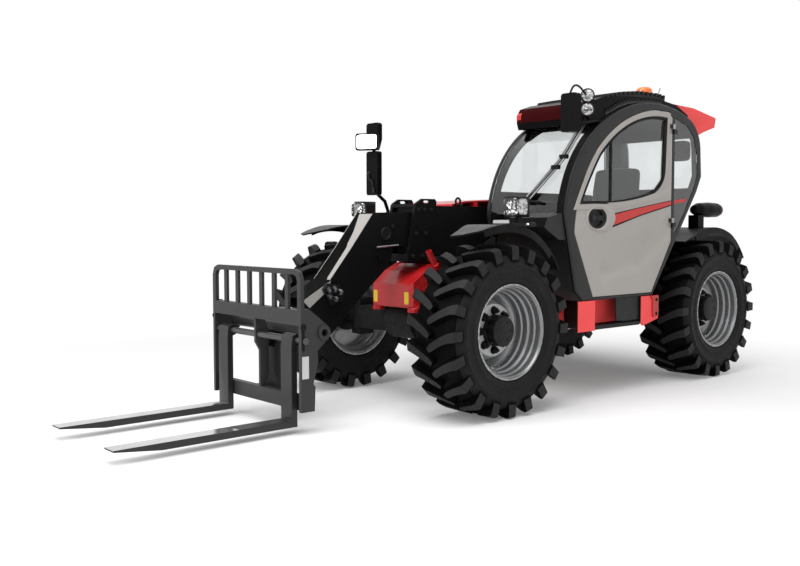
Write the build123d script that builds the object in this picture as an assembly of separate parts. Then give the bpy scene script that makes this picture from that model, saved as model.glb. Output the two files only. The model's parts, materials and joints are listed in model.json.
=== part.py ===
"""Telehandler with a two-stage boom, pallet forks and four-wheel steering, in mm.

Frame: +X forward, +Y to the machine's left, +Z up, ground at Z = 0.
Everything is drawn with the axles at AXLE_Z, then set down on its tyres.
"""
import os
from math import cos, degrees, hypot, pi, radians, sin
from build123d import *

# Running gear
WHEELBASE = 2720
TRACK = 1700
SHANK_REACH = 1430
REAR_OVERHANG = 650
TYRE_RADIUS = 607
TYRE_WIDTH = 460
LUG_HEIGHT = 45
LUGS_A_SIDE = 20
RIM_RADIUS = 337
RIM_WIDTH = 424
KINGPIN_OFFSET = 210
HUB_RADIUS = 108
AXLE_Z = 607
FRONT_FENDER_GAP = 140
REAR_FENDER_GAP = 118

# Frame
FRAME_HALF = 205
FRAME_PLATE = 20
FRAME_TOP = 1060
FRAME_FLOOR = 520

# Cab
CAB_LEFT = 1000
CAB_RIGHT = 215
CAB_FLOOR = 770
CAB_WALL = 45
DOOR_GAP = 6
DOOR_THICK = 40
GLASS = 6

# Boom and head
BOOM_HALF = 130
BOOM_LOW = 1120
BOOM_HIGH = 1500
BOOM_WALL = 12
INNER_HALF = 100
INNER_LOW = 1190
INNER_HIGH = 1450
PIVOT_BACK = 280
PIVOT_Z = 1420
PIVOT_RADIUS = 40
HEAD_PLATE = 15

# Coupler, carriage and forks
TILT_BACK = 360
TILT_Z = 470
CARRIAGE_HALF = 550
GUARD_TOP = 1069
GUARD_BARS = 6
FORK_LENGTH = 1200
FORK_WIDTH = 125
FORK_THICK = 45
FORK_TOP = 90
FORK_INSET = 154
SHAFT_RADIUS = 22.5

# Clearances
PIN_GAP = 0.3
FIT_GAP = 0.5

FORK_REACH = SHANK_REACH + FORK_LENGTH
FORK_SPREAD = CARRIAGE_HALF - FORK_INSET
FRONT_X = (WHEELBASE + REAR_OVERHANG - FORK_REACH) / 2
REAR_X = FRONT_X - WHEELBASE
TAIL_X = REAR_X - REAR_OVERHANG
SHANK_X = FRONT_X + SHANK_REACH
PIVOT_X = REAR_X - PIVOT_BACK
KINGPIN_Y = TRACK / 2 - KINGPIN_OFFSET
FRAME_AXLE_Z = AXLE_Z + 133
FRONT_FENDER = TYRE_RADIUS + FRONT_FENDER_GAP
REAR_FENDER = TYRE_RADIUS + REAR_FENDER_GAP


def box(x0, x1, y0, y1, z0, z1):
    return Pos((x0 + x1) / 2, (y0 + y1) / 2, (z0 + z1) / 2) * Box(x1 - x0, y1 - y0, z1 - z0)


def side_plate(points, y0, y1):
    """Outline of (x, z) points drawn out along Y."""
    face = make_face(Polyline(*[(x, y0, z) for x, z in points], close=True))
    return extrude(face, amount=y1 - y0, dir=(0, 1, 0))


def cross_plate(points, x0, x1):
    """Outline of (y, z) points drawn out along X."""
    face = make_face(Polyline(*[(x0, y, z) for y, z in points], close=True))
    return extrude(face, amount=x1 - x0, dir=(1, 0, 0))


def plan_plate(points, z0, z1):
    """Outline of (x, y) points drawn up along Z."""
    face = make_face(Polyline(*[(x, y, z0) for x, y in points], close=True))
    return extrude(face, amount=z1 - z0, dir=(0, 0, 1))


def rod(p, q, r):
    """Round bar from p to q."""
    p, q = Vector(*p), Vector(*q)
    plane = Plane(origin=p, z_dir=q - p)
    return plane * Cylinder(r, (q - p).length, align=(Align.CENTER, Align.CENTER, Align.MIN))


def rod_y(x, z, r, y0, y1):
    return rod((x, y0, z), (x, y1, z), r)


def bent_tube(points, r):
    """Round tube along a path of straight lengths, with a ball at each bend."""
    tube = fused([rod(p, q, r) for p, q in zip(points, points[1:])])
    for p in points[1:-1]:
        tube += Pos(*p) * Sphere(r)
    return tube


def mirrored(shape):
    return mirror(shape, about=Plane.XZ)


def both_sides(shape):
    return shape + mirrored(shape)


def fused(pieces):
    whole = pieces[0]
    for piece in pieces[1:]:
        whole = whole + piece
    return whole


def turned(points):
    """Section of (radius, y) points turned round the Y axis."""
    face = make_face(Polyline(*[(r, y, 0) for r, y in points], close=True))
    return revolve(face, axis=Axis.Y)


def faceted_ring(points, sides):
    """Section of (radius, y) points carried round the Y axis as flat facets."""
    turn = [2 * pi * (k + 0.5) / sides for k in range(sides)]
    rings = [[Vector(r * sin(a), y, r * cos(a)) for a in turn] for r, y in points]
    faces = []
    for a, b in zip(rings, rings[1:] + rings[:1]):
        for k in range(sides):
            m = (k + 1) % sides
            faces.append(Face(Wire.make_polygon([a[k], a[m], b[m], b[k]])))
    return Solid(Shell(faces))


def front(points):
    """Points placed from the front axle."""
    return [(FRONT_X + x, z) for x, z in points]


def rear(points):
    """Points placed from the rear axle."""
    return [(REAR_X + x, z) for x, z in points]


def bowed(p, q, share):
    """Point above the middle of a line by a share of its length."""
    return ((p[0] + q[0]) / 2, (p[1] + q[1]) / 2 + share * hypot(p[0] - q[0], p[1] - q[1]))


def fender_top(r, dx):
    """Height of a fender's upper face at a distance from its axle."""
    return AXLE_Z + (r * r - dx * dx) ** 0.5


nodes = {}

# Frame: two tall plates, floor, faceted nose and outriggers
LIFT_FOOT = (REAR_X + 50, 815)
LIFT_HEAD = (REAR_X + 1300, 990)
inner = FRAME_HALF - FRAME_PLATE
plate_line = front([(60, FRAME_AXLE_Z), (60, FRAME_TOP - 70), (-60, FRAME_TOP)])
plate_line += rear([(260, FRAME_TOP), (60, 1180)])
plate_line += [(PIVOT_X + 110, PIVOT_Z + 90), (PIVOT_X + 50, PIVOT_Z + 120), (PIVOT_X - 50, PIVOT_Z + 120)]
plate_line += [(PIVOT_X - 110, PIVOT_Z + 60), (TAIL_X + 100, 1000), (TAIL_X + 100, FRAME_AXLE_Z)]
plate_line += rear([(450, FRAME_AXLE_Z), (560, FRAME_FLOOR)])
plate_line += front([(-790, FRAME_FLOOR), (-620, FRAME_AXLE_Z)])
frame = both_sides(side_plate(plate_line, inner, FRAME_HALF))
frame += box(REAR_X + 560, FRONT_X - 790, -FRAME_HALF, FRAME_HALF, FRAME_FLOOR, FRAME_FLOOR + 15)


def nose(step):
    """Nose block, stepped in all round to draw its hollow."""
    half = FRAME_HALF + 30 - step
    plan = [(200 - step, half - 25), (175, half), (-60 - step, half)]
    plan += [(x, -y) for x, y in reversed(plan)]
    block = plan_plate([(FRONT_X + x, y) for x, y in plan], FRAME_AXLE_Z - step, FRAME_TOP)
    slope = [(210, FRAME_AXLE_Z - step), (210, FRAME_TOP - 165 - step), (60, FRAME_TOP - 65 - step),
             (-60, FRAME_TOP - 10 - step), (-100, FRAME_TOP - 10 - step), (-100, FRAME_AXLE_Z - step)]
    return block & side_plate(front(slope), -half - 50, half + 50)


frame += nose(0) - nose(16)
frame += plan_plate([(FRONT_X + 120, 270), (FRONT_X + 185, 220), (FRONT_X + 185, -220), (FRONT_X + 120, -270),
                     (FRONT_X + 90, -270), (FRONT_X + 90, 270)], FRAME_AXLE_Z - 14, FRAME_AXLE_Z + 4)
frame += box(FRONT_X - 640, FRONT_X - 610, -FRAME_HALF, FRAME_HALF, FRAME_AXLE_Z, 1000)
frame += box(REAR_X + 520, REAR_X + 545, -FRAME_HALF, FRAME_HALF, 560, 720)
frame += box(TAIL_X + 100, TAIL_X + 125, -FRAME_HALF, FRAME_HALF, FRAME_AXLE_Z, 1000)
frame += rod_y(PIVOT_X, PIVOT_Z, PIVOT_RADIUS, -FRAME_HALF, FRAME_HALF)
frame += rod_y(*LIFT_FOOT, 35, -FRAME_HALF, FRAME_HALF)
for x in (FRONT_X - 1070, REAR_X + 860):
    frame += box(x - 45, x + 45, FRAME_HALF - 1, 690, 650, CAB_FLOOR)
    frame += box(x - 45, x + 45, -880, -FRAME_HALF + 1, 540, 610)
nodes["chassis_frame"] = frame

# Tail plate with a tow jaw
tail = box(TAIL_X + 70, TAIL_X + 100, -270, 270, 560, 1000)
jaw = box(TAIL_X, TAIL_X + 75, -60, 60, 640, 665) + box(TAIL_X, TAIL_X + 75, -60, 60, 735, 760)
nodes["tow_plate"] = tail + jaw - rod((TAIL_X + 35, 0, 600), (TAIL_X + 35, 0, 800), 18)

# Engine as one plain block
nodes["engine_block"] = box(REAR_X + 940, FRONT_X - 1030, -860, -330, 610, 1240)


# Axles with kingpin yokes
def axle(x):
    beam = box(x - 85, x + 85, 85 - KINGPIN_Y, KINGPIN_Y - 85, AXLE_Z - 90, AXLE_Z + 90)
    beam += rod_y(x, AXLE_Z, 140, -150, 150)
    beam += both_sides(box(x - 85, x + 85, inner, FRAME_HALF, AXLE_Z + 80, FRAME_AXLE_Z))
    beam += rod_y(x - 150, AXLE_Z, 42, -230, 230)
    beam += box(x - 150, x - 60, -60, 60, AXLE_Z - 30, AXLE_Z + 30)
    yoke = box(x - 75, x + 75, KINGPIN_Y - 105, KINGPIN_Y - 82, AXLE_Z - 150, AXLE_Z + 150)
    for s in (-1, 1):
        ear = box(x - 60, x + 60, KINGPIN_Y - 90, KINGPIN_Y, -15, 15) + Pos(x, KINGPIN_Y, 0) * Cylinder(60, 30)
        yoke += Pos(0, 0, AXLE_Z + s * 135) * ear
    yoke -= Pos(x, KINGPIN_Y, AXLE_Z) * Cylinder(25 + PIN_GAP, 400)
    return beam + both_sides(yoke)


nodes["front_axle"] = axle(FRONT_X)
nodes["rear_axle"] = axle(REAR_X)

# One wheel corner, drawn at the origin with the outer side towards +Y
DISC_IN = -52
half_rim = RIM_WIDTH / 2
half_tyre = TYRE_WIDTH / 2
bead = half_rim - 11.5
bead_seat = RIM_RADIUS - 25.5

# Tyre: flat-faceted carcass with bent lugs that lean forward on both sides and run over the shoulder
pitch = 2 * pi / LUGS_A_SIDE
facet = 1 / cos(pi / LUGS_A_SIDE)
tread = TYRE_RADIUS - LUG_HEIGHT
profile = [((bead_seat + FIT_GAP) * facet, bead - FIT_GAP), ((RIM_RADIUS + FIT_GAP) * facet, bead - FIT_GAP),
           (RIM_RADIUS + 35, half_tyre - 8), (tread - 82, half_tyre), (tread - 16, half_tyre - 18),
           (tread, half_tyre - 80)]
carcass = faceted_ring([(r, -y) for r, y in profile] + profile[::-1], LUGS_A_SIDE)
lug_top = TYRE_RADIUS * cos(pitch / 2)
lug_tip = TYRE_RADIUS * sin(pitch / 2)
lug_plan = [(lug_tip, 4), (44, 100), (10, half_tyre + 1), (-46, half_tyre + 1), (-10, 92), (lug_tip - 56, -10)]
left_lug = plan_plate(lug_plan, tread - 70, lug_top)
right_lug = mirrored(left_lug)
lugs = [Rot(0, degrees(k * pitch), 0) * left_lug for k in range(LUGS_A_SIDE)]
lugs += [Rot(0, degrees((k + 0.5) * pitch), 0) * right_lug for k in range(LUGS_A_SIDE)]
tyre = carcass.fuse(*lugs)

bore = HUB_RADIUS - 10
rim = turned([(RIM_RADIUS, half_rim), (RIM_RADIUS, bead), (bead_seat, bead), (bead_seat, 120), (285, 100), (285, -125),
              (bead_seat, -145), (bead_seat, -bead), (RIM_RADIUS, -bead), (RIM_RADIUS, -half_rim),
              (RIM_RADIUS - 14, -half_rim), (298, -152), (272, -132), (272, DISC_IN), (bore, DISC_IN),
              (bore, DISC_IN + 24), (192, DISC_IN + 24), (198, DISC_IN + 14), (215, DISC_IN + 14), (258, 6), (272, 6),
              (272, 52), (290, 62), (290, 104), (300, 112), (300, 150), (311, 158), (311, 188),
              (RIM_RADIUS - 12, half_rim)])
hub = turned([(0, -70), (140, -70), (140, DISC_IN - PIN_GAP), (bore - PIN_GAP, DISC_IN - PIN_GAP),
              (bore - PIN_GAP, DISC_IN + 26), (HUB_RADIUS, DISC_IN + 26), (HUB_RADIUS, 96), (HUB_RADIUS - 10, 108),
              (0, 108)])
knuckle_reach = KINGPIN_OFFSET - 70 - PIN_GAP
knuckle = Cylinder(55, 238) + Cylinder(25, 300)
knuckle += rod((0, 0, 0), (0, knuckle_reach, 0), 70)
knuckle += box(-190, -20, -16, 16, -100, -70) + Pos(-190, 0, -85) * Cylinder(26, 30)

for end, x in (("front", FRONT_X), ("rear", REAR_X)):
    for side, s in (("left", 1), ("right", -1)):
        def place(shape, y):
            shape = Pos(x, y, AXLE_Z) * shape
            return shape if s > 0 else mirrored(shape)
        nodes[f"tyre_{end}_{side}"] = place(tyre, TRACK / 2)
        nodes[f"rim_{end}_{side}"] = place(rim, TRACK / 2)
        nodes[f"hub_{end}_{side}"] = place(hub, TRACK / 2)
        nodes[f"knuckle_{end}_{side}"] = place(knuckle, KINGPIN_Y)


# Fenders: a band round each wheel, trimmed in plan to clear the steered tyre, with a hanging outer lip
def arch(x, r0, r1, a0, a1):
    """Band round an axle at x; angles in degrees back from straight up."""
    def spot(r, a):
        return (x - r * sin(radians(a)), 0, AXLE_Z + r * cos(radians(a)))
    mid = (a0 + a1) / 2
    face = make_face([ThreePointArc(spot(r1, a0), spot(r1, mid), spot(r1, a1)), Line(spot(r1, a1), spot(r0, a1)),
                      ThreePointArc(spot(r0, a1), spot(r0, mid), spot(r0, a0)), Line(spot(r0, a0), spot(r1, a0))])
    return extrude(face, amount=1200, dir=(0, 1, 0))


def fender(x, r, band, lip_band, reach, plan):
    """Fender with a straight length ahead of the band, out to reach."""
    trim = plan_plate([(x + dx, y) for dx, y in plan], 0, 2000)
    lip = trim - Pos(0, -14, 0) * trim
    start = radians(-band[0])
    sheet = [(r * sin(start), r * cos(start)), ((r - 12) * sin(start) - 1, (r - 12) * cos(start))]
    drop = (reach - r * sin(start)) * 0.75 * sin(start)
    sheet += [(reach, (r - 12) * cos(start) - drop), (reach, r * cos(start) - drop)]
    sheet = side_plate([(x + u, AXLE_Z + v) for u, v in sheet], 0, 1200)
    return ((arch(x, r - 12, r, *band) + sheet) & trim) + (arch(x, r - 55, r - 5, *lip_band) & lip)


front_fender = fender(FRONT_X, FRONT_FENDER, (-18, 56), (-18, 44), 405, [
    (405, 560), (405, 860), (370, 940), (260, 1000), (130, 1020), (-250, 1020), (-640, 965), (-640, 895),
    (-480, 890), (-440, 800), (-400, 620), (-400, 560)])
top = AXLE_Z + FRONT_FENDER - 90
stay = [(FRAME_HALF, 980), (FRAME_HALF, 1055), (575, top), (610, top), (610, top - 60), (570, top - 60)]
front_fender += cross_plate(stay, FRONT_X - 330, FRONT_X - 310)
nodes["front_fenders"] = front_fender + mirrored(front_fender)
rear_fender = fender(REAR_X, REAR_FENDER, (-25, 52.4), (-25, 40), 470, [
    (470, FRAME_HALF), (470, 1010), (-300, 1010), (-600, 985), (-600, 895), (-480, 890), (-430, 800), (-390, 620),
    (-390, FRAME_HALF)])
nodes["rear_fenders"] = rear_fender + mirrored(rear_fender)


# Cab: one rounded side outline, its front set from the front axle and its back from the rear axle
def xz(points):
    return [(x, 0, z) for x, z in points]


def grown(edges, grow):
    face = make_face(edges)
    return offset(face, amount=grow) if grow else face


def cab_face(grow):
    f = front([(-870, CAB_FLOOR), (-775, 850), (-633, 1436), (-849, 1940), (-1154, 2177)])
    r = rear([(855, 2348), (569, 2310), (389, 2252), (279, 2162), (219, 1984), (203, 1771), (275, 1636),
              (925, CAB_FLOOR)])
    mid = bowed(f[4], r[0], 0.06769)
    f, r, mid = xz(f), xz(r), xz([mid])[0]
    return grown([Line(f[0], f[1]), Line(f[1], f[2]), ThreePointArc(f[2], f[3], f[4]),
                  ThreePointArc(f[4], mid, r[0]), ThreePointArc(r[0], r[1], r[2]), ThreePointArc(r[2], r[3], r[4]),
                  Line(r[4], r[5]), Line(r[5], r[6]), Line(r[6], r[7]), Line(r[7], f[0])], grow)


def drawn(face, y0, y1):
    """Face in the XZ plane, drawn out along Y from y0 to y1."""
    return extrude(Pos(0, y0, 0) * face, amount=y1 - y0, dir=(0, 1, 0))


def door_face(grow):
    f = front([(-992, 799), (-757, 1290), (-840, 1640), (-1054, 1955)])
    r = rear([(930, 2286), (730, 2286), (678, 2240), (675, 1215), (950, 799)])
    mid = bowed(f[3], r[0], 0.08612)
    f, r, mid = xz(f), xz(r), xz([mid])[0]
    return grown([Line(f[0], f[1]), ThreePointArc(f[1], f[2], f[3]), ThreePointArc(f[3], mid, r[0]),
                  Line(r[0], r[1]), Line(r[1], r[2]), Line(r[2], r[3]), Line(r[3], r[4]), Line(r[4], f[0])], grow)


def window_face(grow):
    f = front([(-1000, 1522), (-823, 1515), (-915, 1680), (-1055, 1887)])
    r = rear([(762, 2229), (785, 1726), (917, 1615)])
    mid, sill = bowed(f[3], r[0], 0.11599), bowed(f[0], r[2], -0.03402)
    f, r, mid, sill = xz(f), xz(r), xz([mid])[0], xz([sill])[0]
    return grown([Line(f[0], f[1]), ThreePointArc(f[1], f[2], f[3]), ThreePointArc(f[3], mid, r[0]),
                  Line(r[0], r[1]), Line(r[1], r[2]), ThreePointArc(r[2], sill, f[0])], grow)


def quarter_face(grow):
    p = rear([(640, 2245), (450, 2195), (340, 2100), (290, 1960), (275, 1775), (335, 1650), (550, 1350),
              (632, 1270)])
    return grown(Polyline(*xz(p), close=True), grow)


def right_face(grow):
    """Long window of the right side, a pillar's width inside the cab outline."""
    limits = box(REAR_X + 550, FRONT_X - 700, -20, 20, 1620, 2160)
    face = (drawn(cab_face(-95), -10, 10) & limits).faces().sort_by(Axis.Y)[0]
    return offset(Pos(0, 10, 0) * face, amount=grow) if grow else Pos(0, 10, 0) * face


windscreen_box = (FRONT_X - 1110, FRONT_X - 400, CAB_RIGHT + 26, CAB_LEFT - 75, 1340, 2140)
rear_box = (REAR_X + 160, REAR_X + 345, CAB_RIGHT + 38, CAB_LEFT - 75, 1672, 2105)


def shrunk(limits, gap):
    x0, x1, y0, y1, z0, z1 = limits
    return box(x0 + gap, x1 - gap, y0 + gap, y1 - gap, z0 + gap, z1 - gap)


solid_cab = drawn(cab_face(0), CAB_RIGHT, CAB_LEFT)
shell = fillet(solid_cab.faces().sort_by(Axis.Y)[-1].edges(), 20)
shell -= drawn(cab_face(-CAB_WALL), CAB_RIGHT + CAB_WALL, CAB_LEFT - CAB_WALL)
shell -= drawn(door_face(DOOR_GAP), CAB_LEFT - CAB_WALL - 5, CAB_LEFT + 5)
shell -= drawn(right_face(0), CAB_RIGHT - 5, CAB_RIGHT + CAB_WALL + 5)
shell -= drawn(quarter_face(0), CAB_LEFT - CAB_WALL - 5, CAB_LEFT + 5)
shell -= box(*windscreen_box)
shell -= box(*rear_box)
corner_line = front([(-640, 1440), (-470, 1405), (-430, 1335), (-480, 1305), (-600, 1240), (-700, 1240), (-700, 1440)])
corner = side_plate(corner_line, 600, CAB_LEFT - 20)
shell += corner - drawn(cab_face(-5), 0, 1200)
HINGE_X = REAR_X + 675 - DOOR_GAP / 2
HINGE_Y = CAB_LEFT + 14
for z in (1330, 2110):
    shell += box(HINGE_X - 60, HINGE_X - 4, CAB_LEFT - 1, CAB_LEFT + 10, z, z + 40)
    shell += Pos(HINGE_X, HINGE_Y, z + 20) * Cylinder(12, 40) + Pos(HINGE_X, HINGE_Y, z + 40) * Cylinder(6, 80)
nodes["cab_shell"] = shell

skin = drawn(cab_face(-10), CAB_RIGHT + 10, CAB_LEFT - 10) - drawn(cab_face(-10 - GLASS), CAB_RIGHT, CAB_LEFT)
nodes["windscreen"] = skin & shrunk(windscreen_box, PIN_GAP)
rear_glass = skin & shrunk(rear_box, PIN_GAP)
right_pane = CAB_RIGHT + 12
nodes["cab_glass"] = Compound(children=[
    *rear_glass.solids(),
    *drawn(right_face(-PIN_GAP), right_pane, right_pane + GLASS).solids(),
    *drawn(quarter_face(-PIN_GAP), CAB_LEFT - GLASS - 4, CAB_LEFT - 4).solids()])

# Door on two lift-off hinges at its rear edge
door = drawn(door_face(0), CAB_LEFT - DOOR_THICK, CAB_LEFT)
door -= drawn(window_face(0), CAB_LEFT - DOOR_THICK - 5, CAB_LEFT + 5)
for z in (1370.5, 2150.5):
    door += box(HINGE_X + 4, HINGE_X + 60, CAB_LEFT - 1, CAB_LEFT + 10, z, z + 38)
    door += Pos(HINGE_X, HINGE_Y, z + 19) * Cylinder(12, 38)
    door -= Pos(HINGE_X, HINGE_Y, z + 19) * Cylinder(6 + PIN_GAP, 60)
handle = (FRONT_X - 1030, 1404)


def oval(a, b, y0, y1):
    """Oval block round the door handle's centre."""
    return drawn(Pos(handle[0], 0, handle[1]) * (Plane.XZ * Ellipse(a, b)), y0, y1)


door -= oval(94, 80, CAB_LEFT - 22, CAB_LEFT + 5)
nodes["door"] = door
nodes["door_glass"] = drawn(window_face(-PIN_GAP), CAB_LEFT - 12 - GLASS, CAB_LEFT - 12)
cup = oval(94 - PIN_GAP, 80 - PIN_GAP, CAB_LEFT - 22, CAB_LEFT - 2) - oval(80, 66, CAB_LEFT - 16, CAB_LEFT + 5)
grip = box(handle[0] - 84, handle[0] + 84, CAB_LEFT - 17, CAB_LEFT - 2, handle[1] - 20, handle[1] + 20)
nodes["door_handle"] = cup + grip

# Roof cap with its visor, guard bars and rear wing
cap_line = front([(-1110, 2135), (-982, 2128), (-962, 2180), (-965, 2245), (-1000, 2296), (-1130, 2336),
                  (-1350, 2362), (-1556, 2378)])
cap_line += rear([(850, 2392), (560, 2362), (380, 2290), (380, 2150)])
cap = side_plate(cap_line, CAB_RIGHT + 20, CAB_LEFT - 40) - drawn(cab_face(0), CAB_RIGHT - 50, CAB_LEFT + 50)
visor = front([(-1000, 2100), (-980, 2182), (-983, 2238), (-1012, 2278), (-1120, 2312), (-1190, 2200), (-1190, 2100)])
cap -= side_plate(visor, CAB_RIGHT + 34, CAB_LEFT - 54)
nodes["cab_roof"] = cap
rail_line = front([(-1180, 2352), (-1400, 2396), (-1640, 2424)]) + rear([(820, 2428), (720, 2416)])
rails = side_plate(rail_line + [(rail_line[-1][0], 2300), (rail_line[0][0], 2300)], CAB_LEFT - 75, CAB_LEFT - 50)
rails += Pos(0, CAB_RIGHT - CAB_LEFT + 120, 0) * rails
for (x0, z0), (x1, z1) in zip(rail_line, rail_line[1:]):
    bars = max(1, round(hypot(x1 - x0, z1 - z0) / 64))
    for k in range(bars):
        x, z = x0 + (x1 - x0) * (k + 0.5) / bars, z0 + (z1 - z0) * (k + 0.5) / bars
        rails += box(x - 13, x + 13, CAB_RIGHT + 45, CAB_LEFT - 40, z - 16, z + 8)
nodes["roof_guard"] = rails - cap - drawn(cab_face(0), 0, 1200)
wing = side_plate(rear([(570, 2372), (260, 2364), (-110, 2306), (-92, 2222), (114, 2160), (250, 2110), (420, 2200)]),
                  CAB_RIGHT + 30, CAB_LEFT - 60)
wing -= side_plate(rear([(620, 2350), (260, 2340), (-70, 2286), (-62, 2236), (114, 2180), (250, 2130), (520, 2150)]),
                   CAB_RIGHT + 60, CAB_LEFT - 90)
nodes["roof_wing"] = wing - drawn(cab_face(0), CAB_RIGHT - 50, CAB_LEFT + 50) - cap

# Cab fittings
SEAT_BACK = FRONT_X - 1690
nodes["seat_base"] = box(SEAT_BACK + 30, SEAT_BACK + 340, 430, 790, CAB_FLOOR + CAB_WALL, 1160)
cushion = box(SEAT_BACK - 60, SEAT_BACK + 400, 370, 850, 1160, 1270)
back = side_plate([(SEAT_BACK, 1260), (SEAT_BACK - 110, 1260), (SEAT_BACK - 190, 1830), (SEAT_BACK - 110, 1840),
                   (SEAT_BACK - 80, 1780)], 380, 840)
nodes["seat"] = cushion + back
desk = side_plate(front([(-830, CAB_FLOOR + CAB_WALL), (-1010, CAB_FLOOR + CAB_WALL), (-900, 1180), (-950, 1300),
                         (-880, 1335), (-760, 1320)]), 330, 880)
nodes["dashboard"] = desk & drawn(cab_face(-CAB_WALL - FIT_GAP), 0, 1200)
wheel_at = Plane(origin=(FRONT_X - 1060, 610, 1440), z_dir=(-0.5, 0, 0.866))
hoop = revolve(Plane.XZ * Pos(180, 0) * RegularPolygon(16, 6), axis=Axis.Z)
wheel = wheel_at * (hoop + Cylinder(45, 24) + Box(340, 36, 14))
wheel += rod((FRONT_X - 1060, 610, 1440), (FRONT_X - 950, 610, 1250), 26)
nodes["steering_wheel"] = wheel - nodes["dashboard"]

# Steps below the door
FOOT_FRONT, FOOT_REAR = FRONT_X - 1023, REAR_X + 1091
step = box(FOOT_FRONT, FOOT_FRONT + 215, 985, 1000, 535, CAB_FLOOR)
step += side_plate([(FOOT_REAR, CAB_FLOOR), (FOOT_REAR - 250, CAB_FLOOR), (FOOT_REAR - 250, 575), (FOOT_REAR - 35, 527),
                    (FOOT_REAR, 560)], 985, 1000)
step += box(FOOT_REAR - 250, FOOT_FRONT + 215, 690, 705, 530, CAB_FLOOR)
step += box(FOOT_FRONT, FOOT_FRONT + 15, 690, 1000, 535, CAB_FLOOR)
step += box(FOOT_REAR - 15, FOOT_REAR, 690, 1000, 560, CAB_FLOOR)
nodes["step_frame"] = step
tread_plate = box(FOOT_REAR, FOOT_FRONT, 705, 990, 540, 570)
slots = 7
slot_pitch = (FOOT_FRONT - FOOT_REAR - 46) / slots
for k in range(slots):
    x = FOOT_REAR + 29 + k * slot_pitch
    tread_plate -= box(x, x + 0.7 * slot_pitch, 735, 960, 530, 580)
nodes["step_tread"] = tread_plate
nodes["step_box"] = box(FOOT_REAR, FOOT_REAR + 224, 935, 975, 570, 750)

# Hood over the engine, hinged along its inner top edge, and the fixed cowl below it
HOOD_PIN = (-236, 1500)
HOOD_OUT = -1010


def hood_outline(step):
    """Hood side outline, its ends and top stepped in to draw its hollow."""
    ahead = [(-740, 1090), (-655, 1440), (-700, 1530), (-860, 1556)]
    behind = [(1220, 1590), (620, 1606), (490, 1560), (430, 1420), (540, 1240), (650, 1090)]
    points = front([(x - step, z) for x, z in ahead]) + rear([(x + step, z) for x, z in behind])
    return [(x, z - step if z > 1500 else z) for x, z in points]


hollow = [(x, z if z > 1200 else 1000) for x, z in hood_outline(14)]
hood = side_plate(hood_outline(0), HOOD_OUT, -250) - side_plate(hollow, HOOD_OUT + 14, -200)
ears = (FRONT_X - 1000, REAR_X + 820)
for x, z in zip(ears, (1552, 1592)):
    ear = box(x + 20, x + 40, HOOD_PIN[0] - 60, HOOD_PIN[0] + 16, HOOD_PIN[1] - 16, z)
    hood += ear - rod((x, *HOOD_PIN), (x + 80, *HOOD_PIN), 8 + PIN_GAP)
nodes["hood"] = hood
cowl = side_plate(front([(-860, 620), (-745, 1080)]) + rear([(658, 1080), (890, 620)]), HOOD_OUT, -FRAME_HALF)
cowl -= side_plate(front([(-880, 600), (-765, 1180)]) + rear([(678, 1180), (910, 600)]), HOOD_OUT + 14, -FRAME_HALF - 14)
vents = 8
vent_pitch = (FRONT_X - REAR_X - 2000) / vents
for k in range(vents):
    x = REAR_X + 1020 + k * vent_pitch
    cowl -= box(x, x + 0.55 * vent_pitch, HOOD_OUT - 10, HOOD_OUT + 30, 760, 980)
cowl += box(REAR_X + 720, FRONT_X - 900, -FRAME_HALF - 14, -FRAME_HALF, 1000, 1470)
for x in ears:
    cowl += box(x, x + 15, HOOD_PIN[0] - 16, -FRAME_HALF, 1440, HOOD_PIN[1] + 16)
    cowl += rod((x, *HOOD_PIN), (x + 60, *HOOD_PIN), 8)
nodes["engine_cowl"] = cowl

# Outer boom with a leaning collar and slotted ears
outer = box(PIVOT_X - 120, FRONT_X + 20, -BOOM_HALF, BOOM_HALF, BOOM_LOW, BOOM_HIGH)
collar = front([(159, BOOM_LOW - 46), (-44, BOOM_LOW - 50), (-130, BOOM_HIGH + 12), (74, BOOM_HIGH + 12)])
outer += side_plate(collar, -BOOM_HALF - 15, BOOM_HALF + 15)
ear = side_plate(front([(-140, BOOM_HIGH), (-145, BOOM_HIGH + 30), (-128, BOOM_HIGH + 51), (8, BOOM_HIGH + 51),
                        (62, BOOM_HIGH + 20), (76, BOOM_HIGH)]), BOOM_HALF - 5, BOOM_HALF + 15)
slot_line = [(-75, 28), (-65, 18), (-15, 18), (-5, 28), (-15, 38), (-65, 38)]
ear -= side_plate(front([(u, BOOM_HIGH + v) for u, v in slot_line]), BOOM_HALF - 10, BOOM_HALF + 20)
ear -= rod_y(FRONT_X - 112, BOOM_HIGH + 32, 8, BOOM_HALF - 10, BOOM_HALF + 20)
outer += both_sides(ear)
outer -= box(PIVOT_X - 100, FRONT_X + 300, -BOOM_HALF + BOOM_WALL, BOOM_HALF - BOOM_WALL, BOOM_LOW + BOOM_WALL,
             BOOM_HIGH - BOOM_WALL)
ring = box(FRONT_X - 20, FRONT_X + 40, -BOOM_HALF + 1, BOOM_HALF - 1, BOOM_LOW + 1, BOOM_HIGH - 1)
ring -= box(FRONT_X - 50, FRONT_X + 200, -INNER_HALF - FIT_GAP, INNER_HALF + FIT_GAP, INNER_LOW - FIT_GAP,
            INNER_HIGH + FIT_GAP)
outer += ring
outer += both_sides(rod_y(PIVOT_X, PIVOT_Z, 70, BOOM_HALF - 1, inner - 5))
outer -= rod_y(PIVOT_X, PIVOT_Z, PIVOT_RADIUS + PIN_GAP, -300, 300)
lug_line = [(LIFT_HEAD[0] - 170, BOOM_LOW + 2), (LIFT_HEAD[0] - 55, LIFT_HEAD[1] - 50),
            (LIFT_HEAD[0] + 55, LIFT_HEAD[1] - 50), (LIFT_HEAD[0] + 170, BOOM_LOW + 2)]
outer += both_sides(side_plate(lug_line, 45, 70) + rod_y(*LIFT_HEAD, 40, 70, 95))
nodes["boom_outer"] = outer

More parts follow.
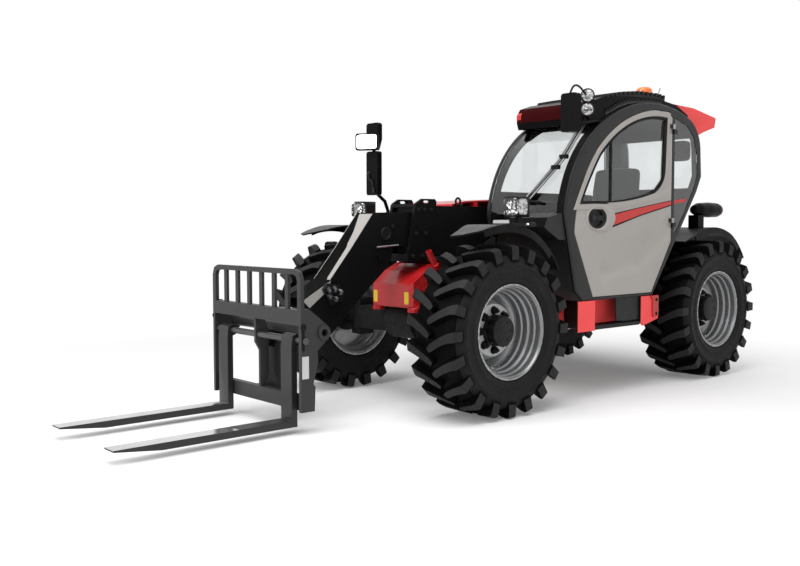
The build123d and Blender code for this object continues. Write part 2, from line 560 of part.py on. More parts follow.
# Inner boom and its gooseneck head, the neck set from the front axle and the foot from the fork shank
TILT = (SHANK_X - TILT_BACK, TILT_Z)
TILT_FOOT = (FRONT_X + 390, 1110)
neck_front = front([(70, INNER_HIGH), (448, INNER_HIGH - 8), (652, 1188), (849, 960)]) + [(SHANK_X - 358, 840)]
foot_line = [(SHANK_X - 325, 760), (SHANK_X - 320, 620), (TILT[0] + 62, TILT_Z + 30), (TILT[0] + 50, TILT_Z - 50),
             (TILT[0] - 20, TILT_Z - 68), (SHANK_X - 509, 514), (SHANK_X - 623, 604)]
neck_back = front([(672, 731), (487, 895), (334, 1022), (280, 1100), (258, INNER_LOW), (70, INNER_LOW)])
tube = box(PIVOT_X + 180, FRONT_X + 120, -INNER_HALF, INNER_HALF, INNER_LOW, INNER_HIGH)
tube -= box(PIVOT_X + 100, FRONT_X + 108, -INNER_HALF + 10, INNER_HALF - 10, INNER_LOW + 10, INNER_HIGH - 10)
slide_pad = box(PIVOT_X + 180, PIVOT_X + 240, -BOOM_HALF + BOOM_WALL + FIT_GAP, BOOM_HALF - BOOM_WALL - FIT_GAP,
                BOOM_LOW + BOOM_WALL + FIT_GAP, BOOM_HIGH - BOOM_WALL - FIT_GAP)
slide_pad -= box(PIVOT_X, PIVOT_X + 400, -INNER_HALF + 5, INNER_HALF - 5, INNER_LOW + 5, INNER_HIGH - 5)
head = both_sides(side_plate(neck_front + foot_line + neck_back, INNER_HALF - HEAD_PLATE, INNER_HALF))
neck_under = [(x - 9, z - 13) for x, z in reversed(neck_front[1:])] + front([(70, INNER_HIGH - 14)])
head += side_plate(neck_front + neck_under, -INNER_HALF, INNER_HALF)
head += side_plate(front([(70, INNER_LOW), (258, INNER_LOW), (280, 1100), (294, 1104), (272, INNER_LOW + 14),
                          (70, INNER_LOW + 14)]), -INNER_HALF, INNER_HALF)
head += tube + slide_pad
head += rod_y(*TILT, 30, -INNER_HALF - 55, INNER_HALF + 55)
head += rod_y(*TILT_FOOT, 25, -INNER_HALF - 12, INNER_HALF + 12)
nodes["boom_inner"] = head

# Coupler: arms outside the head, notched plate in front, lugs for the tilt rod
CROSS = (SHANK_X - 188, 656)
FACE_X = SHANK_X - 11
PLATE_X = SHANK_X - 146
TILT_HEAD = (TILT[0] + 23.5, TILT[1] + 269)
arm_line = [(TILT[0] - 60, TILT_Z - 40), (TILT[0] + 20, TILT_Z - 68), (PLATE_X - 10, 262), (PLATE_X, 262),
            (PLATE_X, 560), (CROSS[0] + 10, 655), (CROSS[0] - 75, 655), (TILT[0] - 40, TILT_Z + 60)]
arm = side_plate(arm_line, INNER_HALF + 10, INNER_HALF + 40)
coupler = both_sides(arm) - rod_y(*TILT, 30 + PIN_GAP, -300, 300)
notched = [(140, 240), (140, 330), (105, 560), (60, 560), (45, 515)]
notched += [(-y, z) for y, z in reversed(notched)]
coupler += cross_plate(notched, PLATE_X - 20, PLATE_X)
coupler += box(PLATE_X - 20, FACE_X - 90, -INNER_HALF - 40, INNER_HALF + 40, 170, 245)
lug = side_plate([(PLATE_X - 20, 300), (PLATE_X, 300), (PLATE_X, 505), (CROSS[0] - 52, 540),
                  (TILT_HEAD[0] + 36, TILT_HEAD[1] + 40), (TILT_HEAD[0] - 18, TILT_HEAD[1] + 44),
                  (TILT_HEAD[0] - 44, TILT_HEAD[1]), (TILT_HEAD[0] + 6, 600), (TILT_HEAD[0] + 66, 470)], 34, 52)
coupler += both_sides(lug)
coupler -= rod_y(*CROSS, 38 + PIN_GAP, -300, 300)
nodes["coupler"] = coupler

# Fork carriage: open frame of side plates, bars, centre rib and hook tube, with the load guard on top
side_line = [(FACE_X, 152), (FACE_X, 815), (FACE_X - 62, 815), (CROSS[0] - 25, CROSS[1] + 52),
             (CROSS[0] - 50, CROSS[1] + 28), (CROSS[0] - 56, CROSS[1]), (CROSS[0] - 42, CROSS[1] - 40),
             (FACE_X - 130, 540), (FACE_X - 135, 470), (FACE_X - 96, 330), (FACE_X - 112, 310), (FACE_X - 106, 152)]
carriage = both_sides(side_plate(side_line, CARRIAGE_HALF - 25, CARRIAGE_HALF))
carriage += rod_y(*CROSS, 38, -CARRIAGE_HALF, CARRIAGE_HALF)
carriage += both_sides(rod_y(*CROSS, 47, CARRIAGE_HALF - 26, CARRIAGE_HALF + 16))
carriage -= both_sides(rod_y(*CROSS, 24, CARRIAGE_HALF - 80, CARRIAGE_HALF + 20))
carriage += box(FACE_X - 60, FACE_X, -CARRIAGE_HALF, CARRIAGE_HALF, 720, 810)
carriage += box(FACE_X - 90, FACE_X - 40, -CARRIAGE_HALF, CARRIAGE_HALF, 152, 250)
carriage += side_plate([(FACE_X - 5, 560), (FACE_X - 5, 730), (FACE_X - 70, 730), (FACE_X - 110, 640), (FACE_X - 110, 330),
                        (FACE_X - 85, 280), (FACE_X - 85, 152), (FACE_X - 40, 152), (FACE_X - 40, 500)], -10, 10)
FORK_EYE = (SHANK_X - FORK_THICK, 610)
carriage -= rod_y(*FORK_EYE, SHAFT_RADIUS + PIN_GAP, -CARRIAGE_HALF - 50, CARRIAGE_HALF + 50)
w, t = CARRIAGE_HALF, GUARD_TOP
hoop = [(w, 800), (w, t - 70), (w - 20, t - 20), (w - 70, t)]
hoop += [(-y, z) for y, z in reversed(hoop)]
hole = [(w - 40, 790), (w - 40, t - 76), (w - 50, t - 46), (w - 80, t - 34)]
hole += [(-y, z) for y, z in reversed(hole)]
carriage += cross_plate(hoop, FACE_X - 28, FACE_X) - cross_plate(hole, FACE_X - 40, FACE_X + 10)
for k in range(GUARD_BARS):
    y = (2 * w - 32) * ((k + 1) / (GUARD_BARS + 1) - 0.5)
    carriage += box(FACE_X - 25, FACE_X - 5, y - 18, y + 18, 805, t - 15)
nodes["carriage"] = carriage
nodes["fork_shaft"] = rod_y(*FORK_EYE, SHAFT_RADIUS, -CARRIAGE_HALF - 10, CARRIAGE_HALF + 10)

# Forks hang on the shaft
tip = SHANK_X + FORK_LENGTH
blade = side_plate([(SHANK_X - FORK_THICK, FORK_TOP - FORK_THICK), (tip - 300, FORK_TOP - FORK_THICK), (tip, FORK_TOP - 12),
                    (tip, FORK_TOP), (SHANK_X, FORK_TOP), (SHANK_X, 560), (SHANK_X - 8, 640), (SHANK_X - FORK_THICK, 640)],
                   -FORK_WIDTH / 2, FORK_WIDTH / 2)
blade += rod_y(*FORK_EYE, 40, -FORK_WIDTH / 2, FORK_WIDTH / 2)
blade -= rod_y(*FORK_EYE, SHAFT_RADIUS + PIN_GAP, -FORK_WIDTH, FORK_WIDTH)
nodes["fork_left"] = Pos(0, FORK_SPREAD, 0) * blade
nodes["fork_right"] = Pos(0, -FORK_SPREAD, 0) * blade


# Cylinders lie in the plane Y = 0; barrel and rod lengths are shares of the pin distance
def cylinder(foot, head, barrel_share, barrel_r, rod_r, rod_share, foot_r, foot_half, head_half):
    length = hypot(head[0] - foot[0], head[1] - foot[1])
    ux, uz = (head[0] - foot[0]) / length, (head[1] - foot[1]) / length

    def spot(d):
        return (foot[0] + ux * d, 0, foot[1] + uz * d)
    end = barrel_share * length
    barrel = rod(spot(foot_r + 5), spot(end), barrel_r)
    barrel += rod_y(*foot, foot_r + 25, -foot_half, foot_half)
    barrel -= rod(spot(foot_r + 45), spot(end + 10), rod_r + FIT_GAP)
    barrel -= rod_y(*foot, foot_r + PIN_GAP, -200, 200)
    ram = rod(spot((1 - rod_share) * length), spot(length), rod_r) + rod_y(*head, rod_r + 14, -head_half, head_half)
    return barrel, ram


nodes["lift_barrel"], nodes["lift_rod"] = cylinder(LIFT_FOOT, LIFT_HEAD, 0.89, 60, 36, 0.79, 35, 60, 40)
nodes["tilt_barrel"], nodes["tilt_rod"] = cylinder(TILT_FOOT, TILT_HEAD, 0.755, 48, 24, 0.84, 25, 45, 28)

# Lamps: head lamps on posts, two work lights on a roof bracket, capsule tail lamps
lamp = fillet(box(FRONT_X - 330, FRONT_X - 150, 792, 952, 1408, 1554).edges().filter_by(Axis.X), 34)
bowed = [(-330, 55), (-290, 85), (-240, 85), (-205, 76), (-183, 57), (-172, 30), (-169, 0)]
bowed += [(x, -y) for x, y in bowed[-2::-1]]
lamp = lamp & plan_plate([(FRONT_X + x, 872 + y) for x, y in bowed], 1400, 1600)
lamp += box(FRONT_X - 290, FRONT_X - 255, 854, 890, fender_top(FRONT_FENDER, 290) + 5, 1425)
lamp -= front_fender
bracket = box(FRONT_X - 1060, FRONT_X - 965, 915, 935, 2175, 2345)
for z in (2226, 2330):
    bracket += rod((FRONT_X - 1005, 915, z), (FRONT_X - 935, 969, z), 50)
bracket -= cap + solid_cab
nodes["front_lamps"] = Compound(children=[*lamp.solids(), *mirrored(lamp).solids(), *bracket.solids()])
capsule = turned([(0, -150), (38, -128), (60, -60), (68, 100), (64, 240), (52, 280), (0, 280)])
capsule = Pos(REAR_X, 880, 1488) * Rot(0, 0, 90) * capsule
tail_lamp = capsule + box(REAR_X + 40, REAR_X + 130, 830, 930, fender_top(REAR_FENDER, 130) + 1, 1440) - rear_fender
nodes["tail_lamps"] = Compound(children=[*tail_lamp.solids(), *mirrored(tail_lamp).solids()])
dome = rod((REAR_X + 430, 550, 2470), (REAR_X + 430, 550, 2568), 70)
dome = chamfer(dome.edges().sort_by(Axis.Z)[-1], 18)
mast = rod((REAR_X + 430, 550, 2360), (REAR_X + 430, 550, 2480), 26)
nodes["beacon"] = dome + mast - wing - cap - solid_cab

# Mirrors on tube arms
left_mirror = fillet(box(FRONT_X - 716, FRONT_X - 655, 938, 1078, 2035, 2318).edges().filter_by(Axis.X), 22)
left_mirror += bent_tube([(FRONT_X - 700, 972, 2110), (FRONT_X - 800, 962, 2110), (FRONT_X - 1100, 955, 2150)], 14)
nodes["left_mirror"] = left_mirror - solid_cab - cap - bracket
arm_x, arm_y = FRONT_X - 340, -850
right_mirror = bent_tube([(FRONT_X - 425, arm_y, fender_top(FRONT_FENDER, 425) - 2), (FRONT_X - 440, arm_y, 1320),
                          (FRONT_X - 498, arm_y, 1476),
                          (FRONT_X - 462, arm_y, 1560), (arm_x - 40, arm_y, 1620), (arm_x, arm_y, 1690),
                          (arm_x, arm_y, 2200)], 15)
right_mirror += fillet(box(arm_x - 25, arm_x + 25, arm_y - 75, arm_y + 75, 1611, 1988).edges().filter_by(Axis.X), 22)
top_line = [(-52, 2015), (52, 2015), (80, 2090), (80, 2215), (62, 2231), (-62, 2231), (-80, 2215), (-80, 2090)]
right_mirror += cross_plate([(arm_y + y, z) for y, z in top_line], arm_x - 25, arm_x + 20)
small = fillet(box(-24, 24, -105, 105, 1995, 2140).edges().filter_by(Axis.X), 20)
right_mirror += Pos(arm_x + 60, arm_y - 12, 0) * Rot(0, 0, 28) * small
right_mirror += rod((arm_x, arm_y, 2070), (arm_x + 60, arm_y - 12, 2070), 14)
nodes["right_mirror"] = right_mirror - mirrored(front_fender)

# Set down on the tyres and write every node
ground = Pos(0, 0, TYRE_RADIUS - AXLE_Z)
os.makedirs("parts", exist_ok=True)
for name, shape in nodes.items():
    export_step(ground * shape, f"parts/{name}.step")
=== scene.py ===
import json
from math import atan2, cos, hypot, pi, radians, sin

import bmesh
import bpy
from mathutils import Matrix, Vector


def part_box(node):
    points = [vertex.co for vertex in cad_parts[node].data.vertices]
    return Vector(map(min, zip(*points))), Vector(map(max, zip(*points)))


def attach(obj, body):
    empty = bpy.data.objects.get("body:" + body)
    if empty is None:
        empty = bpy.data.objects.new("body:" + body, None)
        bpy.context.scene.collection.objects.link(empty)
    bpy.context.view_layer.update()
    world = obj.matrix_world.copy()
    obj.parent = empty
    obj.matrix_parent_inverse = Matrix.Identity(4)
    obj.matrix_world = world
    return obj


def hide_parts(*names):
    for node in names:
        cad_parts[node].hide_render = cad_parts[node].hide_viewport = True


bl_info = {
    "name": "Telehandler dressing",
    "version": (1, 0, 0),
    "blender": (4, 5, 0),
    "location": "View3D > Sidebar > Telehandler",
    "description": "Paint, rubber, glass, trim and a studio stage for the packed telehandler",
    "category": "Object",
}

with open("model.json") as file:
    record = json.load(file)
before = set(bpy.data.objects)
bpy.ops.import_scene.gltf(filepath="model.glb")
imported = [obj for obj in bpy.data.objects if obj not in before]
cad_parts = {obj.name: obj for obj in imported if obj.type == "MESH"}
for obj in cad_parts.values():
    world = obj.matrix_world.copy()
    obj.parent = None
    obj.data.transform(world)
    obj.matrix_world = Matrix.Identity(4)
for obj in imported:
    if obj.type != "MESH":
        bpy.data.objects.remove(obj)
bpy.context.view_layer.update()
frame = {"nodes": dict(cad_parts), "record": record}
NODES = frame["nodes"]
RECORD = frame["record"]
BODY_OF = {node: body for body, members in RECORD["behaviour"]["bodies"].items() for node in members}
CORNERS = [(end, side) for end in ("front", "rear") for side in ("left", "right")]


def wheel_centre(end, side):
    """Middle of a wheel's rim."""
    low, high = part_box(f"rim_{end}_{side}")
    return (low + high) / 2


# Lengths are in metres: X points ahead, Y to the left and Z up.
FRONT_X = wheel_centre("front", "left").x
REAR_X = wheel_centre("rear", "left").x
CAB_LEFT = 1.0  # outer face of the cab's left side
# Behind RED_END the frame's sides take a darker red as painted shade.
RED_END = FRONT_X - 0.09  # the frame's sides lie in shade behind this
DOOR_HINGE = REAR_X + 0.672  # the door's rear edge
WINDOW_CORNER = 0.085  # reach of the window's rounded rear corners
LAMP_Y, LAMP_Z = 0.872, 1.481  # middle of a headlamp
CARRIAGE_FACE = FRONT_X + 1.419  # front of the carriage
CARRIAGE_HALF = 0.550  # half its width
FINE_GRAIN = 620  # scale of the grain of moulded parts


class PaintSettings(bpy.types.PropertyGroup):
    """Colours a user would change."""
    red: bpy.props.FloatVectorProperty(name="Body red", description="Frame, hood and wing paint",
                                       subtype="COLOR", size=3, default=(0.47, 0.010, 0.013), min=0, max=1)
    # The bright red is the body red with painted light, for the step plates, the steps' back plate and the roof wing.
    lit_red: bpy.props.FloatVectorProperty(name="Bright red", description="Step plates and roof wing",
                                           subtype="COLOR", size=3, default=(0.98, 0.085, 0.083), min=0, max=1)
    door: bpy.props.FloatVectorProperty(name="Door grey", description="Warm light grey of the door skin",
                                        subtype="COLOR", size=3, default=(0.37, 0.345, 0.322), min=0, max=1)
    cab: bpy.props.FloatVectorProperty(name="Cab grey", description="Dark satin grey of the cab ring",
                                       subtype="COLOR", size=3, default=(0.013, 0.013, 0.0136), min=0, max=1)
    boom: bpy.props.FloatVectorProperty(name="Boom grey", description="Charcoal paint of the booms",
                                        subtype="COLOR", size=3, default=(0.0050, 0.0050, 0.0053), min=0, max=1)
    rim: bpy.props.FloatVectorProperty(name="Rim silver", description="Silver paint of the wheel rims",
                                       subtype="COLOR", size=3, default=(0.25, 0.2525, 0.258), min=0, max=1)


class TyreSettings(bpy.types.PropertyGroup):
    """Tread of the four tyres."""
    lugs: bpy.props.IntProperty(name="Lugs a side", description="Tread bars on each half of a tyre",
                                default=20, min=12, max=30)
    tread_radius: bpy.props.FloatProperty(name="Tread radius", description="Radius of the carcass between the lugs",
                                          default=0.555, min=0.4, max=0.6, unit="LENGTH")
    lug_radius: bpy.props.FloatProperty(name="Lug radius", description="Radius at the lugs' tops",
                                        default=0.6065, min=0.5, max=0.7, unit="LENGTH")


class StageSettings(bpy.types.PropertyGroup):
    """Camera and lights."""
    eye: bpy.props.FloatVectorProperty(name="Camera place", description="Where the camera stands",
                                       subtype="XYZ", size=3, unit="LENGTH", default=(5.1022, 5.2959, 1.3396))
    turn: bpy.props.FloatVectorProperty(name="Camera turn", description="Camera rotation",
                                        subtype="EULER", size=3, unit="ROTATION",
                                        default=(radians(86.462), radians(0.022), radians(138.852)))
    lens: bpy.props.FloatProperty(name="Lens", description="Focal length on a 36 mm sensor", default=41.11, min=10,
                                  max=200)
    sky: bpy.props.FloatProperty(name="Sky level", description="Light from the white surroundings", default=0.55, min=0,
                                 max=2)
    key: bpy.props.FloatProperty(name="Key light", description="Power of the overhead panel", default=460.0, min=0,
                                 max=4000, unit="POWER")


# Node helpers

def fill(tree, node, **inputs):
    """Links or sets the inputs of a node by name, with _ for a space."""
    for name, value in inputs.items():
        socket = node.inputs[name.replace("_", " ")]
        if hasattr(value, "is_linked"):
            tree.links.new(value, socket)
        else:
            socket.default_value = value


def added(tree, kind, **inputs):
    """New node with its inputs filled."""
    node = tree.nodes.new(kind)
    fill(tree, node, **inputs)
    return node


def noise(tree, coords, scale, detail=4.0, rough=0.55):
    node = added(tree, "ShaderNodeTexNoise", Vector=coords, Scale=scale, Detail=detail, Roughness=rough)
    return node.outputs["Fac"]


def ranged(tree, value, low, high, to_low, to_high):
    """Value carried from one range over to another."""
    node = added(tree, "ShaderNodeMapRange", Value=value, From_Min=low, From_Max=high, To_Min=to_low, To_Max=to_high)
    return node.outputs["Result"]


def clouded(tree, coords, scale, to_low, to_high, detail=4.0):
    """Noise with its middle stretched over a range."""
    return ranged(tree, noise(tree, coords, scale, detail), 0.3, 0.7, to_low, to_high)


def mixed(tree, factor, first, second, blend="MIX"):
    """Mix of two colours, each a tuple or a socket."""
    node = tree.nodes.new("ShaderNodeMix")
    node.data_type = "RGBA"
    node.blend_type = blend
    first, second = ((*c, 1.0) if isinstance(c, tuple) else c for c in (first, second))
    fill(tree, node, Factor=factor, A=first, B=second)
    return node.outputs["Result"]


def tinted(tree, colour, shade):
    """Colour made lighter or darker by a shade."""
    return mixed(tree, 1.0, colour, shade, "MULTIPLY")


def maths(tree, operation, *values):
    """Sockets joined by an operation."""
    node = tree.nodes.new("ShaderNodeMath")
    node.operation = operation
    for socket, value in zip(node.inputs, values):
        tree.links.new(value, socket)
    return node.outputs[0]


def blank(name):
    """New material with its node tree, its shader and object coordinates."""
    material = bpy.data.materials.new(name)
    material.use_nodes = True
    tree = material.node_tree
    shader = tree.nodes["Principled BSDF"]
    coords = tree.nodes.new("ShaderNodeTexCoord").outputs["Object"]
    return material, tree, shader, coords


def bumped(tree, shader, height, strength, distance):
    node = added(tree, "ShaderNodeBump", Height=height, Strength=strength, Distance=distance)
    fill(tree, shader, Normal=node.outputs["Normal"])


def coating(name, colour, rough, metal=0.0, mottle=0.08, grain=0.15, grain_scale=260.0, worn=None, edge_wear_and_highlight=0.5,
            coat=0.0, specular=0.5, depth=0.0006):
    """Painted, cast or moulded surface: uneven colour, uneven gloss, fine grain, and edges lightened partly as rubbed
    wear and partly as painted highlight.

    A single number for worn is a grey."""
    material, tree, shader, coords = blank(name)
    tint = tinted(tree, colour, clouded(tree, coords, 5.0, 1 - mottle, 1 + mottle))
    # Edges lighter by pointiness, towards the worn colour: partly rubbed wear, partly a painted highlight.
    if worn is not None:
        edge = tree.nodes.new("ShaderNodeNewGeometry").outputs["Pointiness"]
        rub_and_highlight = ranged(tree, edge, 0.52, 0.60, 0.0, edge_wear_and_highlight)
        patch = ranged(tree, noise(tree, coords, 38.0, 6.0), 0.45, 0.6, 0.0, 1.0)
        tint = mixed(tree, maths(tree, "MULTIPLY", rub_and_highlight, patch), tint, worn if isinstance(worn, tuple) else (worn,) * 3)
    gloss = clouded(tree, coords, 21.5, rough * 0.86, min(1.0, rough * 1.14), 5.0)
    fill(tree, shader, Base_Color=tint, Roughness=gloss, Metallic=metal, Specular_IOR_Level=specular,
         Coat_Weight=coat, Coat_Roughness=0.12)
    bumped(tree, shader, noise(tree, coords, grain_scale, 3.0), grain, depth)
    return material


def rubber(name, colour, dusty, specular):
    """Tyre rubber with patches of dust."""
    material, tree, shader, coords = blank(name)
    dust = ranged(tree, noise(tree, coords, 9.0, 6.0, 0.65), 0.46, 0.78, 0.0, 0.55)
    fill(tree, shader, Base_Color=mixed(tree, dust, colour, dusty), Specular_IOR_Level=specular,
         Roughness=clouded(tree, coords, 40.0, 0.50, 0.72, 5.0))
    bumped(tree, shader, noise(tree, coords, 420.0), 0.35, 0.0006)
    return material


def brushed(name, colour, rough):
    """Bare steel with grinding lines along X."""
    material, tree, shader, coords = blank(name)
    stretch = added(tree, "ShaderNodeMapping", Vector=coords, Scale=(6.0, 260.0, 260.0))
    lines = noise(tree, stretch.outputs["Vector"], 1.0, 5.0, 0.6)
    stain = ranged(tree, noise(tree, coords, 4.0, 6.0, 0.65), 0.35, 0.7, 0.78, 1.08)
    fill(tree, shader, Base_Color=tinted(tree, colour, stain), Metallic=0.85,
         Roughness=ranged(tree, lines, 0.3, 0.7, rough * 0.8, rough * 1.25))
    bumped(tree, shader, lines, 0.12, 0.0004)
    return material


def clear(name, colour, rough=0.0):
    """Glass or lens: sees through, with faint dust in its gloss."""
    material, tree, shader, coords = blank(name)
    film = ranged(tree, noise(tree, coords, 7.0, 6.0), 0.4, 0.75, rough, rough + 0.03)
    fill(tree, shader, Base_Color=tinted(tree, colour, clouded(tree, coords, 3.0, 0.97, 1.0)), Roughness=film,
         Transmission_Weight=1.0, IOR=1.45)
    return material


def faceted(name):
    """Lamp reflector: bright metal broken into small facets."""
    material, tree, shader, coords = blank(name)
    cells = added(tree, "ShaderNodeTexVoronoi", Vector=coords, Scale=62.0)
    shade = ranged(tree, cells.outputs["Color"], 0.15, 0.85, 0.10, 0.75)
    fill(tree, shader, Base_Color=tinted(tree, (1.0, 1.0, 1.0), shade), Metallic=1.0, Roughness=0.16)
    bumped(tree, shader, cells.outputs["Distance"], 0.5, 0.004)
    return material


def upholstery(name):
    """Woven cloth."""
    material, tree, shader, coords = blank(name)
    weave = added(tree, "ShaderNodeTexBrick", Vector=coords, Scale=190.0, Mortar_Size=0.03,
                  Color1=(0.030, 0.030, 0.033, 1), Color2=(0.044, 0.044, 0.047, 1), Mortar=(0.012, 0.012, 0.013, 1))
    tint = tinted(tree, weave.outputs["Color"], clouded(tree, coords, 12.0, 0.85, 1.15))
    fill(tree, shader, Base_Color=tint, Roughness=0.85, Sheen_Weight=0.35)
    bumped(tree, shader, weave.outputs["Fac"], 0.4, 0.0006)
    return material


def glow(name, colour, rough):
    """Lamp plastic: deep colour under a clear coat, with ribs."""
    material, tree, shader, coords = blank(name)
    wave = added(tree, "ShaderNodeTexWave", Vector=coords, Scale=55.0, Distortion=0.2)
    shade = ranged(tree, wave.outputs["Fac"], 0.0, 1.0, 0.82, 1.08)
    fill(tree, shader, Base_Color=tinted(tree, colour, shade), Roughness=rough, Coat_Weight=0.8,
         Subsurface_Weight=0.25, Subsurface_Radius=(0.02, 0.008, 0.003))
    bumped(tree, shader, wave.outputs["Fac"], 0.2, 0.0008)
    return material


FINISHES = {}


def mix_finishes(paint):
    """Fills the table of finishes, with the colours of the settings."""
    red, lit_red, door, cab, boom, rim = (tuple(getattr(paint, key))
                                          for key in ("red", "lit_red", "door", "cab", "boom", "rim"))
    FINISHES.update({
        "red": coating("body_red", red, 0.34, mottle=0.05, coat=0.25, grain=0.06, specular=0.35,
                       worn=(0.62, 0.10, 0.09), edge_wear_and_highlight=0.35),
        # Body red with painted light.
        "lit_red": coating("red_painted_light", lit_red, 0.36, mottle=0.02, coat=0.08, grain=0.04, specular=0.15,
                           worn=(1.0, 0.20, 0.19), edge_wear_and_highlight=0.15),
        "stripe": coating("stripe_red", (0.58, 0.052, 0.048), 0.36, mottle=0.03, grain=0.04, specular=0.2),
        # Body red darkened as painted shade, for the frame's sides behind RED_END.
        "red_for_painted_shade": coating("frame_red_painted_shade", (0.10, 0.004, 0.005), 0.5, mottle=0.1, grain=0.08, specular=0.1,
                            worn=(0.2, 0.02, 0.02), edge_wear_and_highlight=0.1),
        "door": coating("door_grey", door, 0.40, mottle=0.03, coat=0.2, grain=0.05, worn=(0.5, 0.48, 0.45),
                        edge_wear_and_highlight=0.3),
        "cab": coating("cab_grey", cab, 0.44, mottle=0.05, grain=0.10, specular=0.28, worn=0.06, edge_wear_and_highlight=0.12),
        "boom": coating("boom_charcoal", boom, 0.42, mottle=0.06, grain=0.05, specular=0.10, worn=0.05,
                        edge_wear_and_highlight=0.08),
        "inner": coating("boom_gloss_black", (0.0062, 0.0062, 0.0065), 0.32, mottle=0.06, grain=0.04, specular=0.08,
                         worn=0.06, edge_wear_and_highlight=0.08),
        "neck": coating("neck_black", (0.0014, 0.0014, 0.0015), 0.5, mottle=0.06, grain=0.04, specular=0.02),
        "strip": coating("head_strip", (0.35, 0.335, 0.32), 0.5, mottle=0.05, grain=0.05, specular=0.2),
        "black": coating("frame_black", (0.0075, 0.0075, 0.0078), 0.42, mottle=0.10, grain=0.08, specular=0.18,
                         worn=0.05, edge_wear_and_highlight=0.1),
        "guard": coating("carriage_grey", (0.031, 0.031, 0.0325), 0.46, mottle=0.05, grain=0.08, specular=0.25,
                         worn=0.10, edge_wear_and_highlight=0.08),
        "plate": coating("coupler_grey", (0.012, 0.012, 0.0125), 0.42, grain=0.08, specular=0.2,
                         worn=0.08, edge_wear_and_highlight=0.08),
        "cast": coating("cast_iron", (0.010, 0.010, 0.0105), 0.62, mottle=0.18, grain=0.5, grain_scale=170,
                        depth=0.0015, specular=0.15, worn=0.05),
        "plastic": coating("moulded_black", (0.0060, 0.0060, 0.0063), 0.46, grain=0.3,
                           grain_scale=FINE_GRAIN, specular=0.18, worn=0.03, edge_wear_and_highlight=0.15),
        "shelf": coating("cowl_grey", (0.014, 0.014, 0.0146), 0.5, mottle=0.06, grain=0.3, grain_scale=FINE_GRAIN,
                         specular=0.22),
        # Fender tops are lighter as painted light and fender sides darker as painted shade.
        "fender": coating("fender_top_painted_light", (0.0108, 0.0108, 0.0112), 0.42, mottle=0.06, grain=0.25, grain_scale=FINE_GRAIN,
                          specular=0.30),
        "fender_side_painted_shade": coating("fender_edge_painted_shade", (0.0035, 0.0035, 0.0037), 0.5, grain=0.25,
                               grain_scale=FINE_GRAIN, specular=0.12),
        "roof": coating("roof_black", (0.0040, 0.0039, 0.0040), 0.30, grain=0.08, grain_scale=420,
                        specular=0.05),
        "visor": coating("visor_dark_red", (0.030, 0.0022, 0.0030), 0.28, grain=0.06, specular=0.02),
        "cowl": coating("cowl_dark", (0.0082, 0.0082, 0.0086), 0.5, mottle=0.06, grain=0.3, grain_scale=FINE_GRAIN,
                        specular=0.18),
        "trim": coating("rubber_trim", (0.005, 0.005, 0.005), 0.6, mottle=0.1, grain=0.3, grain_scale=500,
                        specular=0.15),
        # Rim edges and ridges are lightened nearly to white, a painted highlight.
        "rim": coating("rim_silver", rim, 0.30, metal=0.65, mottle=0.04, coat=0.1, grain=0.06, worn=0.95,
                       edge_wear_and_highlight=0.9),
        "rim_plate": coating("wheel_plate_silver", (0.56, 0.564, 0.57), 0.4, metal=0.25, mottle=0.04, grain=0.06),
        "nut": coating("nut_black", (0.0060, 0.0060, 0.0063), 0.40, mottle=0.12, grain=0.10, specular=0.2,
                       worn=0.08, edge_wear_and_highlight=0.2),
        "steel": coating("fork_black", (0.020, 0.020, 0.021), 0.36, grain=0.08, specular=0.32,
                         worn=0.10, edge_wear_and_highlight=0.1),
        "wear": brushed("fork_wear", (0.60, 0.60, 0.61), 0.16),
        "shaft": brushed("shaft_steel", (0.10, 0.10, 0.105), 0.35),
        "bright": brushed("bright_steel", (0.55, 0.55, 0.56), 0.25),
        "pipe": coating("pipe_grey", (0.20, 0.20, 0.205), 0.32, metal=0.75, grain=0.06),
        "reflector": faceted("lamp_reflector"),
        "chrome": coating("chrome", (0.82, 0.82, 0.83), 0.08, metal=1.0, mottle=0.02, grain=0.02),
        "mirror": coating("mirror_silver", (0.82, 0.82, 0.83), 0.03, metal=1.0, mottle=0.01, grain=0.0),
        "zinc": coating("coupling_zinc", (0.075, 0.075, 0.078), 0.25, metal=0.9, mottle=0.2, grain=0.1, worn=0.4),
        "white": coating("blank_plate", (0.55, 0.55, 0.55), 0.4, mottle=0.04, grain=0.05),
        "yellow": coating("blank_yellow", (0.75, 0.50, 0.02), 0.4, mottle=0.05, grain=0.05),
        # Tyre tones: grooves and lug sides darker as painted shade, lug tops lighter as painted highlight; the dusty
        # patches are dust.
        "tyre": rubber("tyre_rubber", (0.0075, 0.0075, 0.0078), (0.017, 0.0168, 0.016), 0.14),
        "groove": rubber("groove_rubber_painted_shade", (0.0022, 0.0022, 0.0023), (0.0045, 0.0044, 0.0042), 0.05),
        "lug": rubber("lug_top_rubber_painted_highlight", (0.0130, 0.0130, 0.0133), (0.023, 0.0227, 0.022), 0.20),
        "glass": clear("cab_glass_tint", (0.88, 0.90, 0.90)),
        "lens": clear("lamp_lens", (0.95, 0.95, 0.95), 0.02),
        "cloth": upholstery("seat_cloth"),
        "amber": glow("beacon_amber", (0.95, 0.22, 0.012), 0.2),
        "redlens": glow("tail_lens", (0.50, 0.008, 0.010), 0.2),
    })


# Mesh helpers

def smooth(mesh, angle=35.0):
    """Smooth shading that stays sharp at edges over an angle in degrees."""
    mesh.shade_smooth()
    mesh.set_sharp_from_angle(angle=radians(angle))


